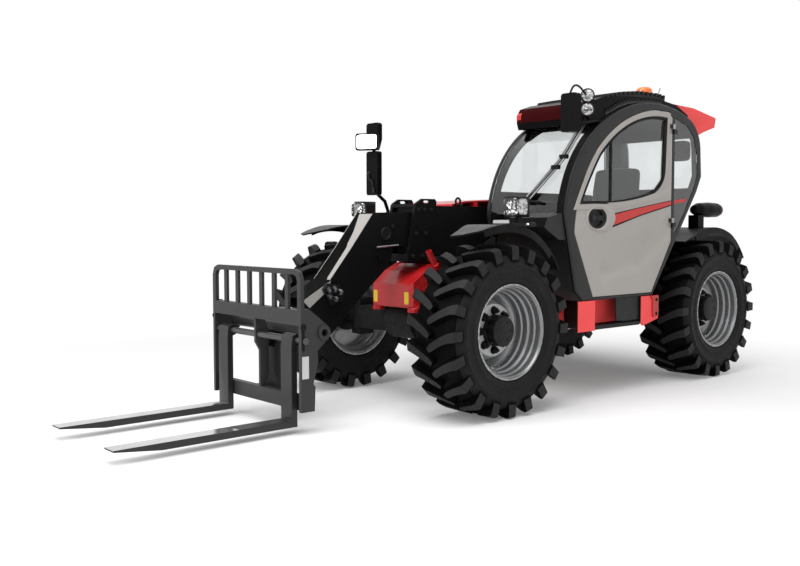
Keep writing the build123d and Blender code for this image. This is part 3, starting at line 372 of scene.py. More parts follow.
def piece(name, bm, finish, body, bevel=0.0, segments=2, angle=35.0, stands_for=()):
    """Turns a bmesh into an object of the scene, riding on a body."""
    bmesh.ops.recalc_face_normals(bm, faces=bm.faces)
    mesh = bpy.data.meshes.new(name)
    bm.to_mesh(mesh)
    bm.free()
    obj = bpy.data.objects.new(name, mesh)
    bpy.context.scene.collection.objects.link(obj)
    for key in ((finish,) if isinstance(finish, str) else finish):
        mesh.materials.append(FINISHES[key])
    smooth(mesh, angle)
    if bevel:
        soft = obj.modifiers.new("soft_edges", "BEVEL")
        soft.width = bevel
        soft.segments = segments
        soft.limit_method = "ANGLE"
        soft.angle_limit = radians(angle)
        soft.harden_normals = True
    if stands_for:
        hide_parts(*stands_for)
    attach(obj, body)
    return obj


def solid_of(node):
    """Copy of a node's solid with its flat faces joined up."""
    bm = bmesh.new()
    bm.from_mesh(NODES[node].data)
    bmesh.ops.remove_doubles(bm, verts=bm.verts, dist=2e-5)
    bmesh.ops.dissolve_limit(bm, angle_limit=radians(0.4), verts=bm.verts, edges=bm.edges)
    return bm


def split(bm, spot, way):
    """Adds edges to a mesh along a plane."""
    bmesh.ops.bisect_plane(bm, geom=bm.verts[:] + bm.edges[:] + bm.faces[:], plane_co=spot, plane_no=way, dist=1e-5)


def dressed(node, finish, bevel=0.003, segments=2, angle=35.0, bm=None, second=None):
    """The node's own solid with softened edges and a finish, in place of the plain one.

    Faces for which second(face) is true take the second of two finishes."""
    bm = bm or solid_of(node)
    if second:
        bm.normal_update()
        for face in bm.faces:
            face.material_index = int(second(face))
    piece(node + "_skin", bm, finish, BODY_OF[node], bevel, segments, angle, (node,))


def painted(node, finish):
    """Gives a plain node its finish."""
    obj = NODES[node]
    obj.data.materials.clear()
    obj.data.materials.append(FINISHES[finish])
    smooth(obj.data)


def join_rings(bm, rings):
    """Faces between closed rings that have the same number of points."""
    for a, b in zip(rings, rings[1:]):
        for k in range(len(a)):
            m = (k + 1) % len(a)
            bm.faces.new((a[k], a[m], b[m], b[k]))


def add_prism(bm, outline, place, low, high):
    """Closed outline of (u, v) points between two depths; place turns (u, v, depth) into a point."""
    bottom = [bm.verts.new(place(u, v, low)) for u, v in outline]
    top = [bm.verts.new(place(u, v, high)) for u, v in outline]
    bm.faces.new(bottom)
    bm.faces.new(top[::-1])
    join_rings(bm, [bottom, top])


def on_side(u, v, d):
    """Outline in XZ, depth along Y."""
    return Vector((u, d, v))


def on_front(u, v, d):
    """Outline in YZ, depth along X."""
    return Vector((d, u, v))


def on_top(u, v, d):
    """Outline in XY, depth along Z."""
    return Vector((u, v, d))


def add_band(bm, outer, inner, place, low, high):
    """Ring between two outlines with the same number of points."""
    rows = [[bm.verts.new(place(u, v, d)) for u, v in line] for line, d in
            ((outer, low), (outer, high), (inner, high), (inner, low))]
    join_rings(bm, rows + rows[:1])


def add_lathe(bm, profile, matrix, steps=48, closed=False):
    """Profile of (radius, height) points turned round the local Z axis of a matrix."""
    rings = []
    for r, h in profile:
        if r < 1e-6:
            rings.append([bm.verts.new(matrix @ Vector((0, 0, h)))])
        else:
            rings.append([bm.verts.new(matrix @ Vector((r * cos(2 * pi * k / steps), r * sin(2 * pi * k / steps), h)))
                          for k in range(steps)])
    for a, b in zip(rings, rings[1:] + (rings[:1] if closed else [])):
        for k in range(steps):
            m = (k + 1) % steps
            if len(a) == 1:
                bm.faces.new((a[0], b[m], b[k]))
            elif len(b) == 1:
                bm.faces.new((a[k], a[m], b[0]))
            else:
                bm.faces.new((a[k], a[m], b[m], b[k]))


def facing(point, direction):
    """Matrix whose Z axis points along a direction from a point."""
    turn = Vector(direction).normalized().to_track_quat("Z", "Y").to_matrix().to_4x4()
    return Matrix.Translation(point) @ turn


def add_bolt(bm, point, direction, width=0.03, height=0.018):
    """Hex head on a washer, with a domed top."""
    m = facing(point, direction)
    add_lathe(bm, [(width * 0.72, -0.001), (width * 0.72, 0.0035), (width * 0.40, 0.0035)], m, 20)
    add_lathe(bm, [(width * 0.58, 0.003), (width * 0.58, height * 0.86), (width * 0.50, height), (0, height)], m, 6)


def routed(path):
    """Points of a NURBS curve that rounds off a path."""
    curve = bpy.data.curves.new("route", "CURVE")
    curve.dimensions = "3D"
    line = curve.splines.new("NURBS")
    line.points.add(len(path) - 1)
    for spot, p in zip(line.points, path):
        spot.co = (*p, 1.0)
    line.order_u = 3
    line.use_endpoint_u = True
    line.resolution_u = 8
    holder = bpy.data.objects.new("route", curve)
    bpy.context.scene.collection.objects.link(holder)
    bpy.context.view_layer.update()
    mesh = bpy.data.meshes.new_from_object(holder.evaluated_get(bpy.context.evaluated_depsgraph_get()))
    points = [v.co.copy() for v in mesh.vertices]
    bpy.data.objects.remove(holder)
    bpy.data.curves.remove(curve)
    bpy.data.meshes.remove(mesh)
    return points


def add_tube(bm, path, radius, steps=12):
    """Round tube along a path that is rounded off first."""
    points = routed(path)
    rings = []
    side = None
    for k, p in enumerate(points):
        ahead = (points[min(k + 1, len(points) - 1)] - points[max(k - 1, 0)]).normalized()
        if side is None:
            side = ahead.orthogonal().normalized()
        side = (side - ahead * side.dot(ahead)).normalized()
        other = ahead.cross(side)
        rings.append([bm.verts.new(p + radius * (side * cos(2 * pi * j / steps) + other * sin(2 * pi * j / steps)))
                      for j in range(steps)])
    join_rings(bm, rings)
    bm.faces.new(rings[0][::-1])
    bm.faces.new(rings[-1])


def add_box(bm, low, high):
    """Box between two corners."""
    (x0, y0, z0), (x1, y1, z1) = low, high
    add_prism(bm, [(x0, y0), (x1, y0), (x1, y1), (x0, y1)], on_top, z0, z1)


def add_ribbon(bm, stations, low, high):
    """Thin plate along stations: the two points of its edges and the way it stands out."""
    rows = []
    for first, second, out in stations:
        out = Vector(out).normalized()
        rows.append([bm.verts.new(Vector(p) + out * d) for p, d in
                     ((first, low), (second, low), (second, high), (first, high))])
    join_rings(bm, rows)
    bm.faces.new(rows[0])
    bm.faces.new(rows[-1][::-1])


def oval_line(centre, across, up, count=48, power=1.0):
    """Closed oval outline; a power below one squares it off."""
    points = []
    for k in range(count):
        c, d = cos(2 * pi * k / count), sin(2 * pi * k / count)
        points.append((centre[0] + across * abs(c) ** power * (1 if c > 0 else -1),
                       centre[1] + up * abs(d) ** power * (1 if d > 0 else -1)))
    return points


def distance(point, line):
    """Shortest way from a point to a line of points."""
    best = 9.0
    for (ax, ay), (bx, by) in zip(line, line[1:]):
        ux, uy = bx - ax, by - ay
        t = max(0.0, min(1.0, ((point[0] - ax) * ux + (point[1] - ay) * uy) / (ux * ux + uy * uy)))
        best = min(best, hypot(point[0] - ax - t * ux, point[1] - ay - t * uy))
    return best


def within(point, outline):
    """True for a point inside a closed outline."""
    inside = False
    for (ax, ay), (bx, by) in zip(outline, outline[1:] + outline[:1]):
        if (ay > point[1]) != (by > point[1]) and point[0] < ax + (point[1] - ay) * (bx - ax) / (by - ay):
            inside = not inside
    return inside


def eased(t):
    """Zero to one with soft ends."""
    t = max(0.0, min(1.0, t))
    return t * t * (3 - 2 * t)


def arc(p, q, r, count=10):
    """Points of the circle through three points, from the first to just before the last."""
    (ax, ay), (bx, by), (cx, cy) = p, q, r
    d = 2 * (ax * (by - cy) + bx * (cy - ay) + cx * (ay - by))
    ux = ((ax**2 + ay**2) * (by - cy) + (bx**2 + by**2) * (cy - ay) + (cx**2 + cy**2) * (ay - by)) / d
    uy = ((ax**2 + ay**2) * (cx - bx) + (bx**2 + by**2) * (ax - cx) + (cx**2 + cy**2) * (bx - ax)) / d
    radius = hypot(ax - ux, ay - uy)
    start, middle, end = (atan2(y - uy, x - ux) for x, y in (p, q, r))
    while middle < start:
        middle += 2 * pi
    while end < start:
        end += 2 * pi
    if middle > end:
        end -= 2 * pi
    return [(ux + radius * cos(start + (end - start) * k / count), uy + radius * sin(start + (end - start) * k / count))
            for k in range(count)]


def inset(points, amount):
    """Closed outline moved inwards, or outwards for a negative amount, with mitred corners."""
    area = sum(x0 * y1 - x1 * y0 for (x0, y0), (x1, y1) in zip(points, points[1:] + points[:1]))
    amount = amount if area > 0 else -amount
    moved = []
    for k, (x, y) in enumerate(points):
        px, py = points[k - 1]
        nx, ny = points[(k + 1) % len(points)]
        ax, ay, bx, by = x - px, y - py, nx - x, ny - y
        la, lb = hypot(ax, ay), hypot(bx, by)
        n1, n2 = (-ay / la, ax / la), (-by / lb, bx / lb)
        mx, my = n1[0] + n2[0], n1[1] + n2[1]
        grow = 2 / max(0.5, mx * mx + my * my)
        moved.append((x + mx * amount * grow, y + my * amount * grow))
    return moved


def rounded(before, corner, after, reach, count=6):
    """Points that ease an outline round one of its corners."""
    mid = Vector(corner)
    start, end = (mid + (Vector(p) - mid).normalized() * reach for p in (before, after))
    return [tuple((1 - t) ** 2 * start + 2 * t * (1 - t) * mid + t * t * end)
            for t in (k / count for k in range(count + 1))]


def window_line():
    """Door window outline in XZ: as cut in the door, with its lower rear corners rounded."""
    front = [(FRONT_X + x, z) for x, z in ((-1.0, 1.522), (-0.823, 1.515), (-0.915, 1.680), (-1.055, 1.887))]
    back = [(REAR_X + x, z) for x, z in ((0.762, 2.229), (0.785, 1.726), (0.917, 1.615))]
    top = ((front[3][0] + back[0][0]) / 2, 2.170)
    sill = ((front[0][0] + back[2][0]) / 2, 1.541)
    bottom = arc(back[2], sill, front[0], 14)
    corners = rounded(back[0], back[1], back[2], WINDOW_CORNER) + rounded(back[1], back[2], bottom[1], WINDOW_CORNER)
    outer = [front[0]] + arc(front[1], front[2], front[3]) + arc(front[3], top, back[0], 14) + [back[0]]
    return outer + corners + bottom[2:]


class TELEHANDLER_OT_panels(bpy.types.Operator):
    """Paint and soften the frame, hood, steps, fenders, axles and other bodywork"""
    bl_idname = "telehandler.panels"
    bl_label = "Bodywork"
    LEVEL, FLANK, AHEAD = 0.6, 0.35, 0.7  # parts of a face's normal that tell tops, sides and fronts

    def execute(self, context):
        frame_solid = solid_of("chassis_frame")
        split(frame_solid, (RED_END, 0, 0), (1, 0, 0))
        # Sides and undersides behind RED_END take the darker red, a painted shade.
        dressed("chassis_frame", ("red", "red_for_painted_shade"), 0.004, bm=frame_solid,
                second=lambda f: f.calc_center_median().x < RED_END and f.normal.z < self.LEVEL)
        dressed("tow_plate", "black", 0.004)
        # Forward faces of the step frame take frame black as painted shade; its other faces take the red with painted
        # light.
        dressed("step_frame", ("lit_red", "black"), 0.004, second=lambda f: f.normal.x > self.AHEAD)
        # The roof wing takes the red with painted light.
        for node, finish, bevel, segments in (("hood", "red", 0.012, 3), ("roof_wing", "lit_red", 0.008, 3),
                                              ("engine_cowl", "cowl", 0.004, 2), ("engine_block", "cast", 0.01, 2),
                                              ("front_axle", "cast", 0.006, 2), ("rear_axle", "cast", 0.006, 2)):
            dressed(node, finish, bevel, segments)
        for end, side in CORNERS:
            dressed(f"knuckle_{end}_{side}", "cast", 0.004)
        self.fenders()
        dressed("step_tread", "black", 0.003)
        dressed("step_box", "plastic", 0.012, 3)
        self.nose()
        self.steps()
        self.tail()
        return {"FINISHED"}

    def fenders(self):
        """Grey tops as painted light and dark edges as painted shade; the front pair is cut back at its inner front
        corner.
        """
        bm = solid_of("front_fenders")
        for s in (-1, 1):
            half = [v for v in bm.verts if s * v.co.y > 0]
            kept = set(half)
            rest = [e for e in bm.edges if e.verts[0] in kept] + [f for f in bm.faces if f.verts[0] in kept]
            corner, way = (FRONT_X - 0.17, s * 0.56, 0), (0.30, -0.575 * s, 0)
            bmesh.ops.bisect_plane(bm, geom=half + rest, plane_co=corner, plane_no=way, clear_outer=True, dist=1e-5)
        bmesh.ops.holes_fill(bm, edges=[e for e in bm.edges if e.is_boundary])
        bmesh.ops.recalc_face_normals(bm, faces=bm.faces)
        # Tops take the lighter finish and faces below FLANK the darker one; the rear pair's tops take the carriage grey
        # as painted light.
        for node, top, solid in (("front_fenders", "fender", bm), ("rear_fenders", "guard", None)):
            dressed(node, (top, "fender_side_painted_shade"), 0.006, 3, bm=solid, second=lambda f: f.normal.z < self.FLANK)

    def nose(self):
        """Blank yellow plates, bolts, post and feet of the nose."""
        face = FRONT_X + 0.2
        bm = bmesh.new()
        for y in (-0.178, 0.182):
            add_prism(bm, oval_line((y, 0.802), 0.024, 0.046, 32, 0.25), on_front, face - 0.001, face + 0.0015)
        piece("nose_plates_blank", bm, "yellow", "chassis", 0.0004)
        bm = bmesh.new()
        for s in (-1, 1):
            for x, z in ((0.12, 0.80), (0.02, 0.80), (0.02, 0.93)):
                add_bolt(bm, (FRONT_X + x, s * 0.235, z), (0, s, 0), 0.028, 0.016)
        piece("nose_bolts", bm, "nut", "chassis", 0.001)
        bm = bmesh.new()
        post = facing((FRONT_X - 0.075, 0.219, 1.015), (0.088, 0.006, 0.136))
        add_lathe(bm, [(0.024, 0.0), (0.024, 0.165), (0.018, 0.165), (0.018, 0.10), (0.0, 0.10)], post, 28)
        add_lathe(bm, [(0.024, 0.025), (0.032, 0.028), (0.032, 0.040), (0.024, 0.043)], post, 28)
        for y in (-0.205, 0.205):
            add_lathe(bm, [(0.0, 0.0), (0.042, 0.0), (0.046, 0.004), (0.046, 0.030), (0.040, 0.034), (0.0, 0.034)],
                      facing((FRONT_X + 0.150, y, 0.7265), (0, 0, -1)), 32)
        piece("nose_post", bm, "red", "chassis", 0.001)

    def steps(self):
        """Bolts, bracket and back plate of the steps, and the cover of the box beside them; the back plate is in the
        red with painted light.
        """
        low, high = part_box("step_frame")
        bm = bmesh.new()
        for z in (0.62, 0.735):
            add_bolt(bm, (low.x + 0.045, high.y + 0.012, z), (0, 1, 0), 0.018, 0.009)
        piece("step_bolts", bm, "nut", "chassis", 0.0008)
        bm = bmesh.new()
        add_prism(bm, [(low.x + 0.012, 0.600), (low.x + 0.088, 0.588), (low.x + 0.098, 0.640), (low.x + 0.098, 0.740),
                       (low.x + 0.125, 0.770), (low.x + 0.012, 0.770)], on_side, high.y - 0.001, high.y + 0.012)
        piece("step_bracket", bm, "red", "chassis", 0.004, 3)
        bm = bmesh.new()
        side_low, side_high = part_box("step_box")
        for z in (0.62, 0.66, 0.70):
            add_box(bm, (side_low.x + 0.03, side_high.y - 0.001, z - 0.006),
                    (side_high.x - 0.03, side_high.y + 0.004, z + 0.006))
        piece("step_box_ribs", bm, "plastic", "chassis", 0.003)
        bm = bmesh.new()
        add_prism(bm, [(side_low.x + 0.006, 0.582), (side_high.x + 0.082, 0.588), (side_high.x + 0.086, 0.640),
                       (side_high.x + 0.096, 0.787), (side_low.x + 0.006, 0.787)], on_side, side_high.y - 0.006,
                  side_high.y + 0.006)
        piece("step_box_cover", bm, "shelf", "chassis", 0.004, 3)
        bm = bmesh.new()
        # Back plate in the red with painted light, set forward in the recess.
        add_box(bm, (low.x + 0.020, 0.855, 0.572), (high.x - 0.235, 0.865, 0.785))
        piece("step_back", bm, "lit_red", "chassis", 0.003)

    def tail(self):
        """Bolts and a blank number plate at the back."""
        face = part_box("tow_plate")[1].x - 0.03
        bm = bmesh.new()
        for y in (-0.22, 0.22):
            for z in (0.60, 0.72, 0.84, 0.96):
                add_bolt(bm, (face, y, z), (-1, 0, 0), 0.03, 0.018)
        piece("tail_bolts", bm, "nut", "chassis", 0.001)
        bm = bmesh.new()
        add_prism(bm, oval_line((0.0, 0.90), 0.15, 0.055, 40, 0.22), on_front, face - 0.003, face + 0.001)
        piece("tail_plate_blank", bm, "white", "chassis", 0.0008)


class TELEHANDLER_OT_tyres(bpy.types.Operator):
    """Round tyres with moulded sidewalls and bent tread bars"""
    bl_idname = "telehandler.tyres"
    bl_label = "Tyres"
    # Lug tops take a painted highlight; grooves and lug sides take a painted shade.
    RUBBER, LUG_TOP, GROOVE = range(3)  # places of the finishes on a tyre
    ROOT, FOOT, MEAN = 0.530, 0.494, 0.585  # radii of a lug's root, of its foot and of its middle
    FLARE = 0.012  # a lug is wider at its root by this on each side
    SHOULDER = 4  # the station from which a lug points straight out

    def carcass(self, bm, sizes):
        """Turned body of a tyre, darker between the lugs as painted shade."""
        half = [(0.3175, 0.1985), (0.3395, 0.1995), (0.345, 0.209), (0.356, 0.2165), (0.372, 0.2205), (0.384, 0.222),
                (0.387, 0.2262), (0.396, 0.2268), (0.399, 0.2235), (0.430, 0.2255), (0.458, 0.2262), (0.462, 0.2290),
                (0.470, 0.2288), (0.474, 0.2255), (0.498, 0.2205), (0.518, 0.2100), (0.534, 0.192), (0.545, 0.165),
                (sizes.tread_radius - 0.003, 0.120), (sizes.tread_radius, 0.05)]
        whole = half + [(r, -y) for r, y in reversed(half)]
        add_lathe(bm, whole, Matrix.Rotation(-pi / 2, 4, "X"), 120, closed=True)
        for face in bm.faces:
            middle = face.calc_center_median()
            face.material_index = self.GROOVE if hypot(middle.x, middle.z) > self.ROOT else self.RUBBER

    def lug(self, bm, sizes, turn, hand):
        """Bar from the crown out to the shoulder, ending in a wide foot down the sidewall."""
        top = sizes.lug_radius
        stations = [(0.094, -0.008, 0.016, top), (0.074, 0.022, 0.0240, top), (0.044, 0.078, 0.0250, top),
                    (0.016, 0.140, 0.0275, top), (-0.004, 0.196, 0.0315, top - 0.0015),
                    (-0.010, 0.2285, 0.0345, top - 0.014), (-0.012, 0.2305, 0.0365, 0.545),
                    (-0.013, 0.2295, 0.0385, 0.505)]
        rows = []
        for k, (s, y, half, r) in enumerate(stations):
            before = stations[max(k - 1, 0)]
            after = stations[min(k + 1, len(stations) - 3)]
            ds, dy = after[0] - before[0], after[1] - before[1]
            length = hypot(ds, dy) or 1.0
            ns, ny = -dy / length, ds / length
            if k >= self.SHOULDER:
                ns, ny = -1.0, 0.0
            base = self.ROOT if k <= self.SHOULDER else self.FOOT
            foot = half + self.FLARE
            row = []
            for side, radius, wide in ((-1, base, foot), (-1, r, half), (1, r, half), (1, base, foot)):
                angle = turn + (s + side * ns * wide) / self.MEAN
                row.append(bm.verts.new((radius * sin(angle), hand * (y + side * ny * wide), radius * cos(angle))))
            rows.append(row)
        for a, b in zip(rows, rows[1:]):
            for j in range(3):
                face = bm.faces.new((a[j], a[j + 1], b[j + 1], b[j]))
                # Lug tops lighter as painted highlight, lug sides darker as painted shade.
                face.material_index = self.LUG_TOP if j == 1 else self.GROOVE
        for end in (rows[0], rows[-1][::-1]):
            bm.faces.new(end).material_index = self.GROOVE

    def execute(self, context):
        sizes = context.scene.telehandler_tyre
        pitch = 2 * pi / sizes.lugs
        for end, side in CORNERS:
            bm = bmesh.new()
            self.carcass(bm, sizes)
            for k in range(sizes.lugs):
                self.lug(bm, sizes, k * pitch, 1)
                self.lug(bm, sizes, (k + 0.5) * pitch, -1)
            if side == "right":
                bmesh.ops.scale(bm, vec=(1, -1, 1), verts=bm.verts)
            bmesh.ops.translate(bm, vec=wheel_centre(end, side), verts=bm.verts)
            node = f"tyre_{end}_{side}"
            piece(node + "_rubber", bm, ("tyre", "lug", "groove"), BODY_OF[node], 0.0045, 2, 38.0, (node,))
        return {"FINISHED"}


class TELEHANDLER_OT_wheels(bpy.types.Operator):
    """Silver rims, black hubs, wheel nuts and valves"""
    bl_idname = "telehandler.wheels"
    bl_label = "Rims and hubs"
    NUTS, NUT_CIRCLE, NUT_SEAT = 8, 0.140, 0.036  # their number, radius and way out
    CAP_BOLTS, CAP_CIRCLE, CAP_FACE = 6, 0.074, 0.1375

    def circle(self, centre, count, radius, out):
        """Points round an axle, at a way out along it."""
        turns = (2 * pi * k / count for k in range(count))
        return [centre + Vector((radius * cos(a), out, radius * sin(a))) for a in turns]

    def execute(self, context):
        for end, side in CORNERS:
            hand = 1 if side == "left" else -1
            centre = wheel_centre(end, side)
            body = BODY_OF[f"rim_{end}_{side}"]
            dressed(f"rim_{end}_{side}", "rim", 0.0035, 2, 24.0)
            dressed(f"hub_{end}_{side}", "black", 0.005, 3)
            nuts, caps = bmesh.new(), bmesh.new()
            out = (0, hand, 0)
            for spot in self.circle(centre, self.NUTS, self.NUT_CIRCLE, hand * self.NUT_SEAT):
                add_bolt(nuts, spot, out, 0.044, 0.032)
                add_lathe(nuts, [(0.012, 0.028), (0.012, 0.048), (0.008, 0.053), (0, 0.053)], facing(spot, out), 14)
            for spot in self.circle(centre, self.CAP_BOLTS, self.CAP_CIRCLE, hand * self.CAP_FACE):
                add_bolt(caps, spot, out, 0.014, 0.0035)
            m = Matrix.Translation(centre) @ Matrix.Rotation(-hand * pi / 2, 4, "X")
            add_lathe(caps, [(0.1085, 0.060), (0.1085, 0.129), (0.105, 0.136), (0.099, 0.1385), (0.0, 0.1385)], m, 64)
            add_lathe(caps, [(0.1075, 0.044), (0.1125, 0.046), (0.1125, 0.062), (0.1075, 0.064)], m, 64)
            plate = bmesh.new()
            add_lathe(plate, [(0.196, -0.034), (0.192, 0.028), (0.186, 0.036), (0.112, 0.038), (0.107, 0.032),
                              (0.107, -0.034)], m, 72)
            piece(f"nut_plate_{end}_{side}", plate, "rim_plate", body, 0.001)
            piece(f"nuts_{end}_{side}", nuts, "nut", body, 0.0015)
            piece(f"hub_cap_{end}_{side}", caps, "nut", body, 0.001)
            bm = bmesh.new()
            valve = centre + Vector((0.02, hand * 0.03, -0.268))
            add_prism(bm, [(-0.034, -0.006), (0.034, -0.006), (0.028, 0.026), (-0.028, 0.026)],
                      lambda u, v, d: valve + Vector((u, hand * d, v)), -0.03, 0.03)
            add_tube(bm, [valve + Vector((0, hand * 0.02, 0.012)), valve + Vector((0, hand * 0.05, 0.014)),
                          valve + Vector((0, hand * 0.08, 0.022))], 0.007, 10)
            piece(f"valve_{end}_{side}", bm, "rim", body, 0.003)
        return {"FINISHED"}


class TELEHANDLER_OT_cab(bpy.types.Operator):
    """Cab ring, glass, roof, wiper, dash, steering wheel and lever"""
    bl_idname = "telehandler.cab"
    bl_label = "Cab"
    PILLAR_Y = 0.7  # the left front pillar stands beyond this
    RAIL_Y = 0.960  # outer side of the roof rail
    TOOTH_PITCH = 0.042

    def pillar_front_in_painted_shade(self, face):
        """True for the front of the left front pillar, which takes the roof black as painted shade."""
        return face.calc_center_median().y > self.PILLAR_Y and face.normal.x > 0.25 and abs(face.normal.y) < 0.5

    def execute(self, context):
        # The left pillar's front faces take the roof black as painted shade.
        dressed("cab_shell", ("cab", "roof"), 0.004, 2, 40.0, second=self.pillar_front_in_painted_shade)
        dressed("cab_roof", ("roof", "visor"), 0.014, 3, second=lambda f: f.normal.x > 0.3 and f.normal.z > -0.3)
        for node, finish, bevel, segments in (("roof_guard", "black", 0.004, 2), ("dashboard", "plastic", 0.012, 3),
                                              ("seat_base", "plastic", 0.012, 3),
                                              ("steering_wheel", "plastic", 0.003, 2)):
            dressed(node, finish, bevel, segments)
        for node in ("windscreen", "cab_glass"):
            painted(node, "glass")
        self.wiper()
        self.fittings()
        self.roof_edge()
        return {"FINISHED"}

    def roof_edge(self):
        """Toothed rail along the roof's left edge, and the visor's red tip."""
        line = [(-0.800, 2.235), (-0.860, 2.262), (-0.960, 2.305), (-1.085, 2.343), (-1.200, 2.360), (-1.320, 2.371),
                (-1.440, 2.378), (-1.552, 2.378)]
        bm = bmesh.new()
        add_ribbon(bm, [((x, self.RAIL_Y, z), (x, self.RAIL_Y, z - 0.034), (0, 1, 0)) for x, z in line], -0.004, 0.008)
        piece("roof_rail", bm, "guard", "chassis", 0.002)
        bm = bmesh.new()
        for (x0, z0), (x1, z1) in zip(line, line[1:]):
            count = round(hypot(x1 - x0, z1 - z0) / self.TOOTH_PITCH)
            for k in range(count):
                x, z = x0 + (x1 - x0) * (k + 0.5) / count, z0 + (z1 - z0) * (k + 0.5) / count
                add_box(bm, (x - 0.012, 0.930, z - 0.014), (x + 0.012, 0.974, z + 0.010))
        piece("roof_teeth", bm, "trim", "chassis", 0.002)
        low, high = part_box("cab_roof")
        bm = bmesh.new()
        add_prism(bm, [(high.x - 0.050, 2.235), (high.x + 0.001, 2.205), (high.x + 0.001, 2.242),
                       (high.x - 0.014, 2.262), (high.x - 0.050, 2.278)], on_side, low.y - 0.002, low.y + 0.045)
        piece("visor_tip", bm, "red", "chassis", 0.003)

    def wiper(self):
        """Two parallel arms and a hose just off the windscreen, with their pivot and end pieces."""
        route = [(-0.694, 0.870, 2.158), (-0.620, 0.892, 2.100), (-0.540, 0.905, 2.035), (-0.399, 0.900, 1.866),
                 (-0.351, 0.862, 1.786), (-0.292, 0.760, 1.654), (-0.257, 0.655, 1.534)]
        bm = bmesh.new()
        for shift in (0.0, 0.040):
            add_tube(bm, [(x, y - shift, z + 0.2 * shift) for x, y, z in route], 0.0080, 10)
        piece("wiper_arms", bm, "pipe", "chassis")
        bm = bmesh.new()
        add_tube(bm, [(x - 0.004, y - 0.020, z) for x, y, z in route], 0.0085, 8)
        piece("wiper_hose", bm, "trim", "chassis")
        bm = bmesh.new()
        m = facing((-0.690, 0.845, 2.150), (0.75, 0, 0.66))
        add_lathe(bm, [(0, 0.05), (0.03, 0.045), (0.042, 0.0), (0.0, -0.012)], m, 24)
        for x, y, z in (route[3], route[4], route[-1]):
            add_box(bm, (x - 0.016, y - 0.055, z - 0.016), (x + 0.016, y + 0.016, z + 0.016))
        add_tube(bm, [(-0.275, 0.50, 1.56), (-0.262, 0.635, 1.53), (-0.262, 0.78, 1.52)], 0.011, 8)
        piece("wiper_fittings", bm, "trim", "chassis", 0.003)

    def fittings(self):
        """Rear wiper motor, control lever and its console."""
        bm = bmesh.new()
        add_prism(bm, oval_line((0.820, 2.0), 0.092, 0.088, 32, 0.4), on_front, -2.100, -2.050)
        motor = facing((-2.118, 0.795, 2.0), (1, 0, 0))
        add_lathe(bm, [(0.0, 0.0), (0.022, 0.0), (0.022, 0.05), (0.0, 0.05)], motor, 20)
        lever = Vector((FRONT_X - 1.33, 0.37, 1.20))
        for profile in ([(0.030, 0.0), (0.024, 0.03), (0.010, 0.05), (0.009, 0.20), (0.0, 0.205)],
                        [(0.0, 0.19), (0.024, 0.20), (0.028, 0.25), (0.022, 0.29), (0.0, 0.30)]):
            add_lathe(bm, profile, facing(lever, (0.1, 0.05, 1)), 20)
        add_box(bm, (FRONT_X - 1.52, 0.30, 0.86), (FRONT_X - 1.22, 0.40, 1.21))
        piece("cab_fittings", bm, "plastic", "chassis", 0.006, 3)


